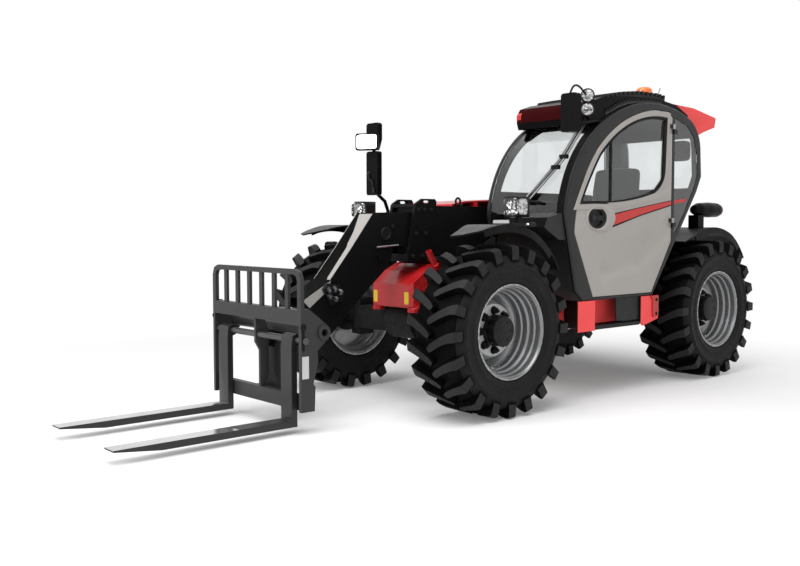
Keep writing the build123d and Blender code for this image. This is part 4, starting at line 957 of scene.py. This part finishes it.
class TELEHANDLER_OT_door(bpy.types.Operator):
    """Pressed door skin with window surround, gasket and divider, handle ring, hinge caps and stripe"""
    bl_idname = "telehandler.door"
    bl_label = "Door"
    SWAGE_HEIGHT, SWAGE_DROP = 0.008, 0.012  # rise of the swage, and its start below its line
    DISH_DEPTH, DISH_EDGE, DISH_FADE = 0.032, 0.060, 0.20  # depth of the dish, its slope below and above
    DISH_REAR = -1.668  # where the dish ends at the back

    def execute(self, context):
        self.skin()
        dressed("door_handle", "plastic", 0.003, 2)
        painted("door_glass", "glass")
        line = window_line()
        bm = bmesh.new()
        add_band(bm, inset(line, -0.008), inset(line, 0.013), on_side, CAB_LEFT - 0.013, CAB_LEFT + 0.005)
        top, sill = 1.992, 1.528
        divider = [(-0.853, sill), (-0.826, sill), (-0.826, top), (-0.853, top + 0.02)]
        add_prism(bm, divider, on_side, CAB_LEFT - 0.024, CAB_LEFT - 0.006)
        rear = REAR_X + 0.762
        add_prism(bm, [(rear + 0.012, 2.205), (rear + 0.033, 2.200), (rear + 0.050, 1.770), (rear + 0.030, 1.740)],
                  on_side, CAB_LEFT - 0.010, CAB_LEFT + 0.003)
        piece("window_gasket", bm, "trim", "door", 0.003)
        bm = bmesh.new()
        add_band(bm, inset(line, -0.050), inset(line, -0.009), on_side, CAB_LEFT - 0.004, CAB_LEFT + 0.0055)
        piece("window_surround", bm, "door", "door", 0.004, 3)
        self.handle_ring()
        self.hinges()
        self.stripe()
        return {"FINISHED"}

    def relief(self, x, z):
        """Depth of the pressed dish in the lower door and height of the swage under the window."""
        swage = [(-0.449, 1.460), (-0.612, 1.531), (-0.781, 1.524), (-0.904, 1.481), (-1.228, 1.523), (-1.672, 1.592)]
        for (x0, z0), (x1, z1) in zip(swage, swage[1:]):
            if x1 < x <= x0:
                above = z - z0 - (z1 - z0) * (x - x0) / (x1 - x0)
                if above > -self.SWAGE_DROP:
                    rise = eased((above + self.SWAGE_DROP) / 0.020)
                    return self.SWAGE_HEIGHT * rise * (1 - eased((above - 0.04) / 0.04))
        upper = [(-0.603, 1.144), (-0.823, 1.193), (-1.233, 1.340), (-1.667, 1.420)]
        lower = [(-0.603, 1.144), (-0.744, 0.908), (-0.970, 0.948), (-1.244, 0.981), (-1.508, 1.129), (-1.672, 1.272)]
        if not within((x, z), upper + lower[:0:-1]):
            return 0.0
        share = eased(distance((x, z), lower) / self.DISH_EDGE) * eased(distance((x, z), upper) / self.DISH_FADE)
        return -self.DISH_DEPTH * share * eased((x - self.DISH_REAR) / 0.05)

    def skin(self):
        """The door's solid with its outer face cut into a grid and pressed."""
        bm = solid_of("door")
        cuts = [((-1.66 + 0.03 * k, 0, 0), (1, 0, 0)) for k in range(36)]
        cuts += [((0, 0, 0.91 + 0.03 * k), (0, 0, 1)) for k in range(18)]
        cuts += [((0, 0, 1.445 + 0.010 * k), (0, 0, 1)) for k in range(23)]
        for spot, way in cuts:
            split(bm, spot, way)
        for v in bm.verts:
            if abs(v.co.y - CAB_LEFT) < 1e-4:
                v.co.y += self.relief(v.co.x, v.co.z)
        piece("door_skin", bm, "door", BODY_OF["door"], 0.006, 3, 35.0, ("door",))

    def handle_ring(self):
        """Raised oval collar round the handle, with the cup inside it and a lock."""
        centre = (FRONT_X - 1.030, 1.404)
        collar = [(0.0, 0.118, 0.081, -0.002), (0.0, 0.118, 0.081, 0.005), (-0.006, 0.128, 0.086, 0.0105),
                  (-0.022, 0.146, 0.092, 0.0115), (-0.044, 0.176, 0.100, 0.006), (-0.052, 0.192, 0.106, -0.001)]
        cup = [(0.0, 0.1185, 0.0815, 0.0025), (0.0, 0.090, 0.076, 0.0015), (0.0, 0.084, 0.070, -0.010)]
        for name, rings, finish, slot in (("handle_ring", collar, "door", "door_grey"),
                                          ("handle_cup", cup, "plastic", "plastic")):
            bm = bmesh.new()
            rows = []
            for shift, across, up, out in rings:
                oval = oval_line((centre[0] + shift, centre[1]), across, up, 64)
                rows.append([bm.verts.new((x, CAB_LEFT + out, z)) for x, z in oval])
            join_rings(bm, rows)
            piece(name, bm, finish, "door")
        bm = bmesh.new()
        add_lathe(bm, [(0.0, 0.0), (0.026, 0.0), (0.026, 0.006), (0.020, 0.010), (0.0, 0.010)],
                  facing((centre[0] + 0.050, CAB_LEFT - 0.004, centre[1]), (0, 1, 0)), 24)
        piece("handle_lock", bm, "nut", "door", 0.001)

    def hinges(self):
        """Dark caps on the hinge leaves."""
        bm = bmesh.new()
        for z in (1.3715, 2.1515):
            add_box(bm, (DOOR_HINGE + 0.010, CAB_LEFT + 0.009, z), (DOOR_HINGE + 0.058, CAB_LEFT + 0.013, z + 0.036))
        piece("hinge_caps", bm, "plastic", "door", 0.002)

    def stripe(self):
        """Tapered red band, cut at the door's rear edge so that both halves follow their own body."""
        seam = DOOR_HINGE + 0.003
        top = [(-0.879, 1.433), (-1.192, 1.485), (seam + 0.004, 1.553)]
        low = [(seam + 0.004, 1.522), (-1.231, 1.434), (-0.872, 1.350)]
        bm = bmesh.new()
        add_prism(bm, top + low, on_side, CAB_LEFT + 0.0005, CAB_LEFT + 0.0025)
        piece("door_stripe", bm, "stripe", "door", 0.0008)
        bm = bmesh.new()
        over, under = [(x, z + 0.005) for x, z in top[1:]], [(x, z - 0.010) for x, z in low[:2]]
        border = [(-0.868, 1.441)] + over + under + [(-0.858, 1.332)]
        add_prism(bm, border, on_side, CAB_LEFT - 0.001, CAB_LEFT + 0.0012)
        piece("stripe_border", bm, "trim", "door")
        bm = bmesh.new()
        tail = [(seam - 0.006, 1.555), (-1.905, 1.577), (-1.896, 1.550), (seam - 0.006, 1.524)]
        add_prism(bm, tail, on_side, CAB_LEFT - 0.0045, CAB_LEFT - 0.002)
        piece("stripe_tail", bm, "stripe", "chassis", 0.0005)


class TELEHANDLER_OT_seat(bpy.types.Operator):
    """Stitched driver's seat: cushion, backrest, shell and armrests"""
    bl_idname = "telehandler.seat"
    bl_label = "Seat"
    ARMREST = 0.262  # from the middle of the seat to an armrest

    def pad(self, bm, centre, size, tilt, crown):
        """Crowned cushion block with pulled-in sides and two stitched grooves."""
        turn = Matrix.Translation(centre) @ Matrix.Rotation(tilt, 4, "Y")
        grid = 9
        half = Vector(size) / 2
        lookup = {}
        for i in range(grid):
            for j in range(grid):
                u, v = 2 * i / (grid - 1) - 1, 2 * j / (grid - 1) - 1
                for s in (-1, 1):
                    edge = max(abs(u), abs(v))
                    bulge = (1 - u**4) * (1 - v**4)
                    waist = 1 - 0.03 * (1 - edge)
                    groove = 0.12 if abs(abs(v) - 0.5) < 0.05 and s > 0 else 0.0
                    height = s * half.z * (0.72 + 0.28 * bulge * (crown if s > 0 else 0.4) - groove)
                    p = Vector((half.x * u * waist * (1 - 0.05 * v * v), half.y * v * waist * (1 - 0.05 * u * u),
                                height))
                    lookup[i, j, s] = bm.verts.new(turn @ p)
        for i in range(grid - 1):
            for j in range(grid - 1):
                for s in (-1, 1):
                    bm.faces.new([lookup[a, b, s] for a, b in ((i, j), (i + 1, j), (i + 1, j + 1), (i, j + 1))][::s])
        rim = [(i, 0) for i in range(grid - 1)] + [(grid - 1, j) for j in range(grid - 1)]
        rim += [(i, grid - 1) for i in range(grid - 1, 0, -1)] + [(0, j) for j in range(grid - 1, 0, -1)]
        for a, b in zip(rim, rim[1:] + rim[:1]):
            bm.faces.new((lookup[(*a, -1)], lookup[(*b, -1)], lookup[(*b, 1)], lookup[(*a, 1)]))

    def execute(self, context):
        low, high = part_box("seat")
        mid = (low.y + high.y) / 2
        back = FRONT_X - 1.69
        bm = bmesh.new()
        self.pad(bm, (back + 0.17, mid, 1.215), (0.46, 0.47, 0.125), radians(-3), 1.0)
        self.pad(bm, (back - 0.100, mid, 1.56), (0.56, 0.45, 0.115), radians(81), 1.0)
        seat = piece("seat_cushions", bm, "cloth", "chassis", stands_for=("seat",))
        rounding = seat.modifiers.new("rounding", "SUBSURF")
        rounding.levels = rounding.render_levels = 2
        bm = bmesh.new()
        add_box(bm, (back - 0.155, mid - 0.20, 1.17), (back - 0.11, mid + 0.20, 1.30))
        add_box(bm, (back - 0.175, mid - 0.17, 1.28), (back - 0.150, mid + 0.17, 1.74))
        for s in (-1, 1):
            add_box(bm, (back - 0.06, mid + s * self.ARMREST - 0.03, 1.36),
                    (back + 0.27, mid + s * self.ARMREST + 0.03, 1.405))
            add_box(bm, (back - 0.10, mid + s * self.ARMREST - 0.02, 1.20),
                    (back - 0.04, mid + s * self.ARMREST + 0.02, 1.40))
        piece("seat_shell", bm, "plastic", "chassis", 0.008, 3)
        return {"FINISHED"}


class TELEHANDLER_OT_boom(bpy.types.Operator):
    """Booms, collar bolts, lifting eye, head strip, hydraulic couplings and cylinders"""
    bl_idname = "telehandler.boom"
    bl_label = "Boom"
    HEAD_HALF = 0.1  # half the width of the head
    PIPE_Y = 0.107

    def execute(self, context):
        dressed("boom_outer", "boom", 0.006, 3)
        dressed("boom_inner", ("inner", "neck"), 0.004, 2, second=lambda f: f.normal.x > 0.4)
        for node in ("lift_barrel", "tilt_barrel"):
            dressed(node, "black", 0.004)
        for node in ("lift_rod", "tilt_rod"):
            dressed(node, "chrome", 0.002)
        self.collar()
        self.head()
        self.couplings()
        return {"FINISHED"}

    def collar(self):
        """Bolts of the collar and the lifting eye."""
        bm = bmesh.new()
        for s in (-1, 1):
            for x, z in ((-0.085, 1.465), (-0.015, 1.465), (0.045, 1.465), (-0.03, 1.285), (0.07, 1.285), (0.0, 1.115),
                         (0.10, 1.115)):
                add_bolt(bm, (FRONT_X + x, s * 0.145, z), (0, s, 0), 0.026, 0.016)
        piece("collar_bolts", bm, "nut", "boom_outer", 0.001)
        bm = bmesh.new()
        x = FRONT_X - 0.52
        add_tube(bm, [(x, -0.045, 1.497), (x, -0.045, 1.515), (x, -0.018, 1.525), (x, -0.030, 1.552), (x, 0.0, 1.575),
                      (x, 0.030, 1.552), (x, 0.018, 1.525), (x, 0.045, 1.515), (x, 0.045, 1.497)], 0.009, 10)
        piece("lifting_eye", bm, "boom", "boom_outer")

    def head(self):
        """Light strip along the left edge of the neck with its hole and flared end, a light ribbon along the right edge
        as painted highlight, pivot covers and pipes.
        """
        slope = (0.780, 0, 0.626)
        bm = bmesh.new()
        strip = ((0.457, 1.431, -0.055), (0.5637, 1.298, 0.007), (0.630, 1.2155, 0.024), (0.652, 1.188, 0.040),
                 (0.836, 0.975, 0.054), (0.848, 0.961, 0.060))
        edge = ((0.452, 1.437), (0.652, 1.188), (0.848, 0.961))
        add_ribbon(bm, [((FRONT_X + x, inner, z), (FRONT_X + x, 0.0975, z), slope) for x, z, inner in strip],
                   0.0005, 0.0035)
        # Thin light ribbon along the head's right edge: a painted highlight of its rounded edge.
        add_ribbon(bm, [((FRONT_X + x, -0.0995, z), (FRONT_X + x, -0.094, z), slope) for x, z in edge], 0.0005, 0.0025)
        add_prism(bm, [(1.212, 0.957), (1.440, 0.834), (1.447, 0.815), (1.400, 0.772), (1.262, 0.874)], on_side, 0.0995,
                  0.103)
        piece("head_strip", bm, "strip", "boom_inner", 0.0008)
        bm = bmesh.new()
        add_prism(bm, oval_line((0.0, 0.0), 0.024, 0.010, 24), lambda u, v, d: Vector(slope) * d + Vector(
            (FRONT_X + 0.486 + u * slope[2], 0.010 + v, 1.3935 - u * slope[0])), 0.001, 0.0042)
        piece("strip_hole", bm, "trim", "boom_inner")
        bm = bmesh.new()
        for s in (-1, 1):
            m = facing((FRONT_X + 0.335, s * self.HEAD_HALF, 1.287), (0, s, 0))
            add_lathe(bm, [(0.0, 0.010), (0.030, 0.010), (0.034, 0.014), (0.046, 0.014), (0.050, 0.008),
                           (0.050, -0.002)], m, 40)
            add_bolt(bm, (FRONT_X + 0.266, s * self.HEAD_HALF, 1.339), (0, s, 0), 0.024, 0.014)
        piece("boom_covers", bm, "black", "boom_inner")
        bm = bmesh.new()
        for s in (-1, 1):
            run = ((0.215, 1.200), (0.32, 1.194), (0.426, 1.187))
            add_tube(bm, [(FRONT_X + x, s * self.PIPE_Y, z) for x, z in run], 0.007, 10)
        piece("head_pipes", bm, "bright", "boom_inner")

    def couplings(self):
        """Block of quick couplings on the left of the head."""
        bm, bright = bmesh.new(), bmesh.new()
        base = Vector((FRONT_X + 0.835, self.HEAD_HALF, 0.865))
        add_prism(bm, [(base.x + u, base.z + v) for u, v in ((-0.085, -0.045), (0.02, -0.085), (0.09, 0.03),
                                                             (0.06, 0.075), (-0.05, 0.06))], on_side, 0.0995, 0.126)
        for k, (x, z, r) in enumerate(((-0.050, 0.010, 0.021), (0.000, 0.036, 0.021), (0.050, 0.036, 0.019),
                                       (-0.010, -0.036, 0.019), (0.044, -0.012, 0.018))):
            m = facing(base + Vector((x, 0.024, z)), (0.35, 1, -0.18 * (k % 3)))
            add_lathe(bright, [(r, 0.0), (r, 0.022), (r * 0.86, 0.024), (r * 0.86, 0.038), (r * 0.62, 0.042),
                               (r * 0.62, 0.058), (r * 0.42, 0.060), (r * 0.42, 0.050), (0, 0.050)], m, 24)
            add_lathe(bm, [(r * 1.25, 0.0), (r * 1.25, 0.010), (r, 0.012)], m, 6)
        piece("coupling_block", bm, "black", "boom_inner", 0.003)
        piece("coupling_tips", bright, "zinc", "boom_inner")


class TELEHANDLER_OT_carriage(bpy.types.Operator):
    """Fork carriage, coupler, forks, latches and blank plates"""
    bl_idname = "telehandler.carriage"
    bl_label = "Carriage"
    WEAR_START = {"left": 1.82, "right": 1.40}  # where each blade's worn top begins, ahead of the front axle

    def execute(self, context):
        dressed("carriage", "guard", 0.004)
        dressed("coupler", "plate", 0.004)
        dressed("fork_shaft", "shaft", 0.002)
        for side in ("left", "right"):
            start = FRONT_X + self.WEAR_START[side]
            bm = solid_of(f"fork_{side}")
            split(bm, (start, 0, 0), (1, 0, 0))

            def worn(face):
                """True for the top of the blade ahead of the start."""
                middle = face.calc_center_median()
                return face.normal.z > 0.9 and middle.x > start and middle.z < 0.2

            dressed(f"fork_{side}", ("steel", "wear"), 0.006, 3, bm=bm, second=worn)
        face, half = CARRIAGE_FACE, CARRIAGE_HALF
        bm = bmesh.new()
        for s in (-1, 1):
            add_prism(bm, [(face - 0.060, 0.368), (face - 0.008, 0.368), (face - 0.008, 0.512), (face - 0.060, 0.512)],
                      on_side, s * (half - 0.0005), s * (half + 0.0015))
        piece("side_plates_blank", bm, "white", "carriage", 0.0006)
        bm = bmesh.new()
        for s in (-1, 1):
            near, far = sorted((s * (half - 0.001), s * (half + 0.006)))
            add_box(bm, (face - 0.026, near, 0.548), (face - 0.010, far, 0.684))
            add_lathe(bm, [(0.022, 0.0), (0.022, 0.006), (0.016, 0.010), (0, 0.010)],
                      facing((face - 0.018, s * half, 0.70), (0, s, 0)), 28)
        piece("fork_latches", bm, "trim", "carriage", 0.002)
        return {"FINISHED"}


class TELEHANDLER_OT_lamps(bpy.types.Operator):
    """Lamps, beacon and mirrors with lenses, glass and brackets"""
    bl_idname = "telehandler.lamps"
    bl_label = "Lamps and mirrors"
    STAY = 0.0075  # radius of a mirror stay
    SQUARED = 0.25  # power of a mirror's outline

    def execute(self, context):
        for node, finish, bevel, segments in (("front_lamps", "plastic", 0.006, 3), ("tail_lamps", "roof", 0.004, 2),
                                              ("beacon", "amber", 0.008, 3), ("left_mirror", "roof", 0.008, 3),
                                              ("right_mirror", "roof", 0.008, 3)):
            dressed(node, finish, bevel, segments)
        self.headlamps()
        self.worklights()
        self.mirrors()
        self.small_parts()
        return {"FINISHED"}

    def headlamps(self):
        """Bowl and lens on each lamp's bowed front and on its outer side."""
        bow = [(0.0, -0.169), (0.030, -0.172), (0.057, -0.183), (0.076, -0.205), (0.085, -0.240)]

        def front_at(y):
            """X of the lamp's front, from the front axle, at a way across from its middle."""
            for (y0, x0), (y1, x1) in zip(bow, bow[1:]):
                if abs(y) <= y1:
                    return x0 + (x1 - x0) * (abs(y) - y0) / (y1 - y0)
            return bow[-1][1]

        bowls, lenses = bmesh.new(), bmesh.new()
        outline = oval_line((0.0, 0.0), 0.074, 0.062, 48, 0.45)
        # Depth off the lamp's front, and share of the outline
        bowl_layers = ((0.001, 1.0), (0.005, 0.96), (0.0035, 0.90), (0.001, 0.62), (0.0008, 0.40), (0.004, 0.34),
                       (0.005, 0.16))
        lens_layers = ((0.0045, 0.95), (0.009, 0.88), (0.012, 0.55), (0.0125, 0.2))
        for s in (-1, 1):
            for bm, layers in ((bowls, bowl_layers), (lenses, lens_layers)):
                rows = []
                for depth, share in layers:
                    ring = [(share * y, share * z) for y, z in outline]
                    rows.append([bm.verts.new((FRONT_X + front_at(y) + depth, s * LAMP_Y + y, LAMP_Z + z))
                                 for y, z in ring])
                join_rings(bm, rows)
                bm.faces.new(rows[-1])
            side_line = oval_line((FRONT_X - 0.221, LAMP_Z), 0.046, 0.056, 40, 0.4)
            add_prism(bowls, side_line, on_side, s * 0.9565, s * 0.9585)
            add_prism(lenses, inset(side_line, 0.001), on_side, s * 0.9588, s * 0.9605)
        piece("headlamp_bowls", bowls, "reflector", "chassis")
        piece("headlamp_lenses", lenses, "lens", "chassis")

    def worklights(self):
        """Bowls, lenses and ribbed rings of the two work lights, and the stays of the left mirror."""
        bowls, lenses, rings = bmesh.new(), bmesh.new(), bmesh.new()
        for z in (2.226, 2.330):
            m = facing((FRONT_X - 0.935, 0.969, z), (0.070, 0.054, 0))
            add_lathe(bowls, [(0.045, 0.001), (0.040, 0.003), (0.022, 0.0015), (0.012, 0.004), (0, 0.005)], m, 36)
            add_lathe(lenses, [(0.045, 0.003), (0.040, 0.009), (0.020, 0.013), (0, 0.014)], m, 36)
            add_lathe(rings, [(0.050, -0.01), (0.053, 0.004), (0.050, 0.008), (0.045, 0.006), (0.045, 0.0)], m, 36)
            for k in range(4):
                low, high = -0.045 + 0.009 * k, -0.040 + 0.009 * k
                add_lathe(rings, [(0.046, low), (0.053, low), (0.053, high), (0.046, high)], m, 36)
        piece("worklight_bowls", bowls, "reflector", "chassis")
        piece("worklight_lenses", lenses, "lens", "chassis")
        piece("worklight_rings", rings, "plastic", "chassis")
        bm = bmesh.new()
        add_tube(bm, [(-0.310, 1.00, 2.305), (-0.345, 0.995, 2.375), (-0.430, 0.985, 2.395), (-0.540, 0.970, 2.335),
                      (-0.640, 0.935, 2.325)], self.STAY, 10)
        lower = [(-0.315, 1.01, 2.06), (-0.38, 0.99, 2.035), (-0.50, 0.96, 2.09), (-0.61, 0.935, 2.185)]
        add_tube(bm, lower, self.STAY, 10)
        piece("mirror_stays", bm, "trim", "chassis")

    def mirrors(self):
        """Glass of the four mirrors, and the bracket on the front of the right arm."""
        bm = bmesh.new()
        arm_x, arm_y = FRONT_X - 0.34, -0.85
        for z0, z1, half in ((1.626, 1.973, 0.060), (2.10, 2.215, 0.062)):
            add_prism(bm, oval_line((arm_y, (z0 + z1) / 2), half, (z1 - z0) / 2, 40, self.SQUARED), on_front,
                      arm_x - 0.027, arm_x - 0.0245)
        add_prism(bm, oval_line((1.008, 2.1765), 0.058, 0.128, 40, self.SQUARED), on_front, FRONT_X - 0.718,
                  FRONT_X - 0.7155)
        turn = Matrix.Translation((arm_x + 0.06, arm_y - 0.012, 0)) @ Matrix.Rotation(radians(28), 4, "Z")
        add_prism(bm, oval_line((0.0, 2.0675), 0.092, 0.060, 40, self.SQUARED),
                  lambda u, v, d: turn @ on_front(u, v, d), 0.0235, 0.0262)
        piece("mirror_glass", bm, "mirror", "chassis", 0.0006)
        bm = bmesh.new()
        front = arm_x + 0.022
        add_lathe(bm, [(0.022, -0.002), (0.022, 0.008), (0.015, 0.016), (0.0, 0.018)],
                  facing((front, arm_y - 0.036, 1.800), (1, 0, 0)), 24)
        add_tube(bm, [(front + 0.010, arm_y - 0.036, 1.790), (front + 0.014, arm_y - 0.034, 1.745),
                      (front + 0.014, arm_y + 0.006, 1.742), (front + 0.014, arm_y + 0.026, 1.700),
                      (front + 0.008, arm_y + 0.030, 1.650)], 0.006, 8)
        add_box(bm, (front - 0.004, arm_y + 0.014, 1.628), (front + 0.016, arm_y + 0.046, 1.672))
        piece("mirror_bracket", bm, "nut", "chassis", 0.002)

    def small_parts(self):
        """Tail lenses, beacon base and aerial, and the plate, bracket and lamp in front of the left fender."""
        bm = bmesh.new()
        for s in (-1, 1):
            m = facing((REAR_X - 0.28, s * 0.88, 1.488), (-1, 0, 0))
            add_lathe(bm, [(0.054, -0.012), (0.0535, 0.0), (0.048, 0.006), (0.02, 0.009), (0, 0.0095)], m, 40)
        piece("tail_lenses", bm, "redlens", "chassis")
        bm = bmesh.new()
        x = REAR_X + 0.43
        base = facing((x, 0.55, 2.462), (0, 0, 1))
        add_lathe(bm, [(0.072, 0.0), (0.074, 0.006), (0.074, 0.016), (0.068, 0.02)], base, 40)
        add_tube(bm, [(x - 0.06, 0.62, 2.36), (x - 0.075, 0.625, 2.45), (x - 0.115, 0.64, 2.566)], 0.003, 8)
        piece("beacon_base", bm, "trim", "chassis")
        bm = bmesh.new()
        x = FRONT_X - 0.172  # front of the left fender
        add_prism(bm, oval_line((0.796, 1.374), 0.078, 0.012, 32, 0.2), on_front, x, x + 0.004)
        piece("fender_plate_blank", bm, "white", "chassis", 0.0005)
        bm = bmesh.new()
        add_box(bm, (x - 0.030, 0.700, 1.310), (x, 0.890, 1.366))
        add_box(bm, (x - 0.060, 0.885, 1.335), (x - 0.004, 1.030, 1.366))
        lamp = facing((x, 1.048, 1.352), (1, 0, 0))
        add_lathe(bm, [(0.0, -0.07), (0.018, -0.07), (0.018, 0.0), (0.015, 0.003)], lamp, 24)
        piece("fender_bracket", bm, "plastic", "chassis", 0.002)
        bm = bmesh.new()
        add_lathe(bm, [(0.0145, -0.002), (0.012, 0.004), (0.0, 0.006)], lamp, 24)
        piece("side_lamp_lens", bm, "chrome", "chassis")


class TELEHANDLER_OT_stage(bpy.types.Operator):
    """Pale floor, white surroundings, soft lights and the camera"""
    bl_idname = "telehandler.stage"
    bl_label = "Stage"
    FRONT_SHARE = 0.40  # power of the front panel against the key
    SENSOR, CLIP_END = 36.0, 200.0
    FLOOR_RADIUS = 60.0
    PALE_FROM, PALE_TO = 2.2, 5.2  # the floor turns white between these radii

    def execute(self, context):
        stage = context.scene.telehandler_stage
        self.floor()
        self.sky(stage.sky)
        self.panel_light("key_panel", (2.6, 1.6, 7.0), (-0.3, 0.0, 0.8), (6.0, 6.0), stage.key)
        self.panel_light("front_panel", (7.5, -1.5, 3.2), (0.6, 0.0, 0.8), (3.5, 3.0), stage.key * self.FRONT_SHARE)
        camera = bpy.data.objects.new("camera", bpy.data.cameras.new("camera"))
        context.scene.collection.objects.link(camera)
        camera.location = stage.eye
        camera.rotation_euler = stage.turn
        camera.data.sensor_width = self.SENSOR
        camera.data.sensor_fit = "HORIZONTAL"
        camera.data.lens = stage.lens
        camera.data.clip_end = self.CLIP_END
        context.scene.camera = camera
        context.scene.view_settings.view_transform = "Standard"
        return {"FINISHED"}

    def seen_rays(self, tree):
        """One where a camera, glossy or transmitted ray sees the surface."""
        path = tree.nodes.new("ShaderNodeLightPath")
        total = path.outputs["Is Camera Ray"]
        for name in ("Is Glossy Ray", "Is Transmission Ray"):
            total = maths(tree, "MAXIMUM", total, path.outputs[name])
        return total

    def floor(self):
        """Pale disc that turns into plain white away from the machine."""
        bm = bmesh.new()
        bmesh.ops.create_circle(bm, cap_ends=True, segments=96, radius=self.FLOOR_RADIUS)
        mesh = bpy.data.meshes.new("floor")
        bm.to_mesh(mesh)
        bm.free()
        floor = bpy.data.objects.new("floor", mesh)
        bpy.context.scene.collection.objects.link(floor)
        material, tree, shader, coords = blank("studio_floor")
        tint = tinted(tree, (0.97, 0.97, 0.97), clouded(tree, coords, 2.0, 0.985, 1.0))
        fill(tree, shader, Base_Color=tint, Roughness=0.9, Specular_IOR_Level=0.1)
        reach = tree.nodes.new("ShaderNodeVectorMath")
        reach.operation = "LENGTH"
        tree.links.new(coords, reach.inputs[0])
        far = ranged(tree, reach.outputs["Value"], self.PALE_FROM, self.PALE_TO, 0.12, 1.0)
        white = added(tree, "ShaderNodeEmission", Color=(1, 1, 1, 1))
        blend = tree.nodes.new("ShaderNodeMixShader")
        share = maths(tree, "MULTIPLY", far, self.seen_rays(tree))
        for socket, source in zip(blend.inputs, (share, shader.outputs[0], white.outputs[0])):
            tree.links.new(source, socket)
        fill(tree, tree.nodes["Material Output"], Surface=blend.outputs[0])
        mesh.materials.append(material)

    def sky(self, level):
        """White surroundings that light the machine at a level of their own."""
        world = bpy.data.worlds.new("white_room")
        bpy.context.scene.world = world
        world.use_nodes = True
        tree = world.node_tree
        strength = ranged(tree, self.seen_rays(tree), 0.0, 1.0, level, 1.0)
        fill(tree, tree.nodes["Background"], Color=(1, 1, 1, 1), Strength=strength)

    def panel_light(self, name, place, aim, size, power):
        """Flat light at a place, turned to an aim."""
        light = bpy.data.lights.new(name, "AREA")
        light.shape = "RECTANGLE"
        light.size, light.size_y = size
        light.energy = power
        obj = bpy.data.objects.new(name, light)
        bpy.context.scene.collection.objects.link(obj)
        obj.location = place
        obj.rotation_euler = (Vector(aim) - Vector(place)).to_track_quat("-Z", "Y").to_euler()


PIECES = (TELEHANDLER_OT_panels, TELEHANDLER_OT_tyres, TELEHANDLER_OT_wheels, TELEHANDLER_OT_cab, TELEHANDLER_OT_door,
          TELEHANDLER_OT_seat, TELEHANDLER_OT_boom, TELEHANDLER_OT_carriage, TELEHANDLER_OT_lamps, TELEHANDLER_OT_stage)


class TELEHANDLER_PT_panel(bpy.types.Panel):
    """Lists the pieces and their settings"""
    bl_label = "Telehandler"
    bl_idname = "TELEHANDLER_PT_panel"
    bl_space_type = "VIEW_3D"
    bl_region_type = "UI"
    bl_category = "Telehandler"

    def draw(self, context):
        for operator in PIECES:
            self.layout.operator(operator.bl_idname)
        for group, keys in ((context.scene.telehandler_paint, ("red", "lit_red", "door", "cab", "boom", "rim")),
                            (context.scene.telehandler_tyre, ("lugs", "tread_radius", "lug_radius")),
                            (context.scene.telehandler_stage, ("eye", "turn", "lens", "sky", "key"))):
            for key in keys:
                self.layout.prop(group, key)


CLASSES = (PaintSettings, TyreSettings, StageSettings, *PIECES, TELEHANDLER_PT_panel)


def register():
    for cls in CLASSES:
        bpy.utils.register_class(cls)
    bpy.types.Scene.telehandler_paint = bpy.props.PointerProperty(type=PaintSettings)
    bpy.types.Scene.telehandler_tyre = bpy.props.PointerProperty(type=TyreSettings)
    bpy.types.Scene.telehandler_stage = bpy.props.PointerProperty(type=StageSettings)


def unregister():
    for name in ("telehandler_paint", "telehandler_tyre", "telehandler_stage"):
        delattr(bpy.types.Scene, name)
    for cls in reversed(CLASSES):
        bpy.utils.unregister_class(cls)


def main():
    register()
    mix_finishes(bpy.context.scene.telehandler_paint)
    for operator in PIECES:
        group, name = operator.bl_idname.split(".")
        getattr(getattr(bpy.ops, group), name)()
    bpy.context.view_layer.update()


if __name__ == "__main__":
    main()
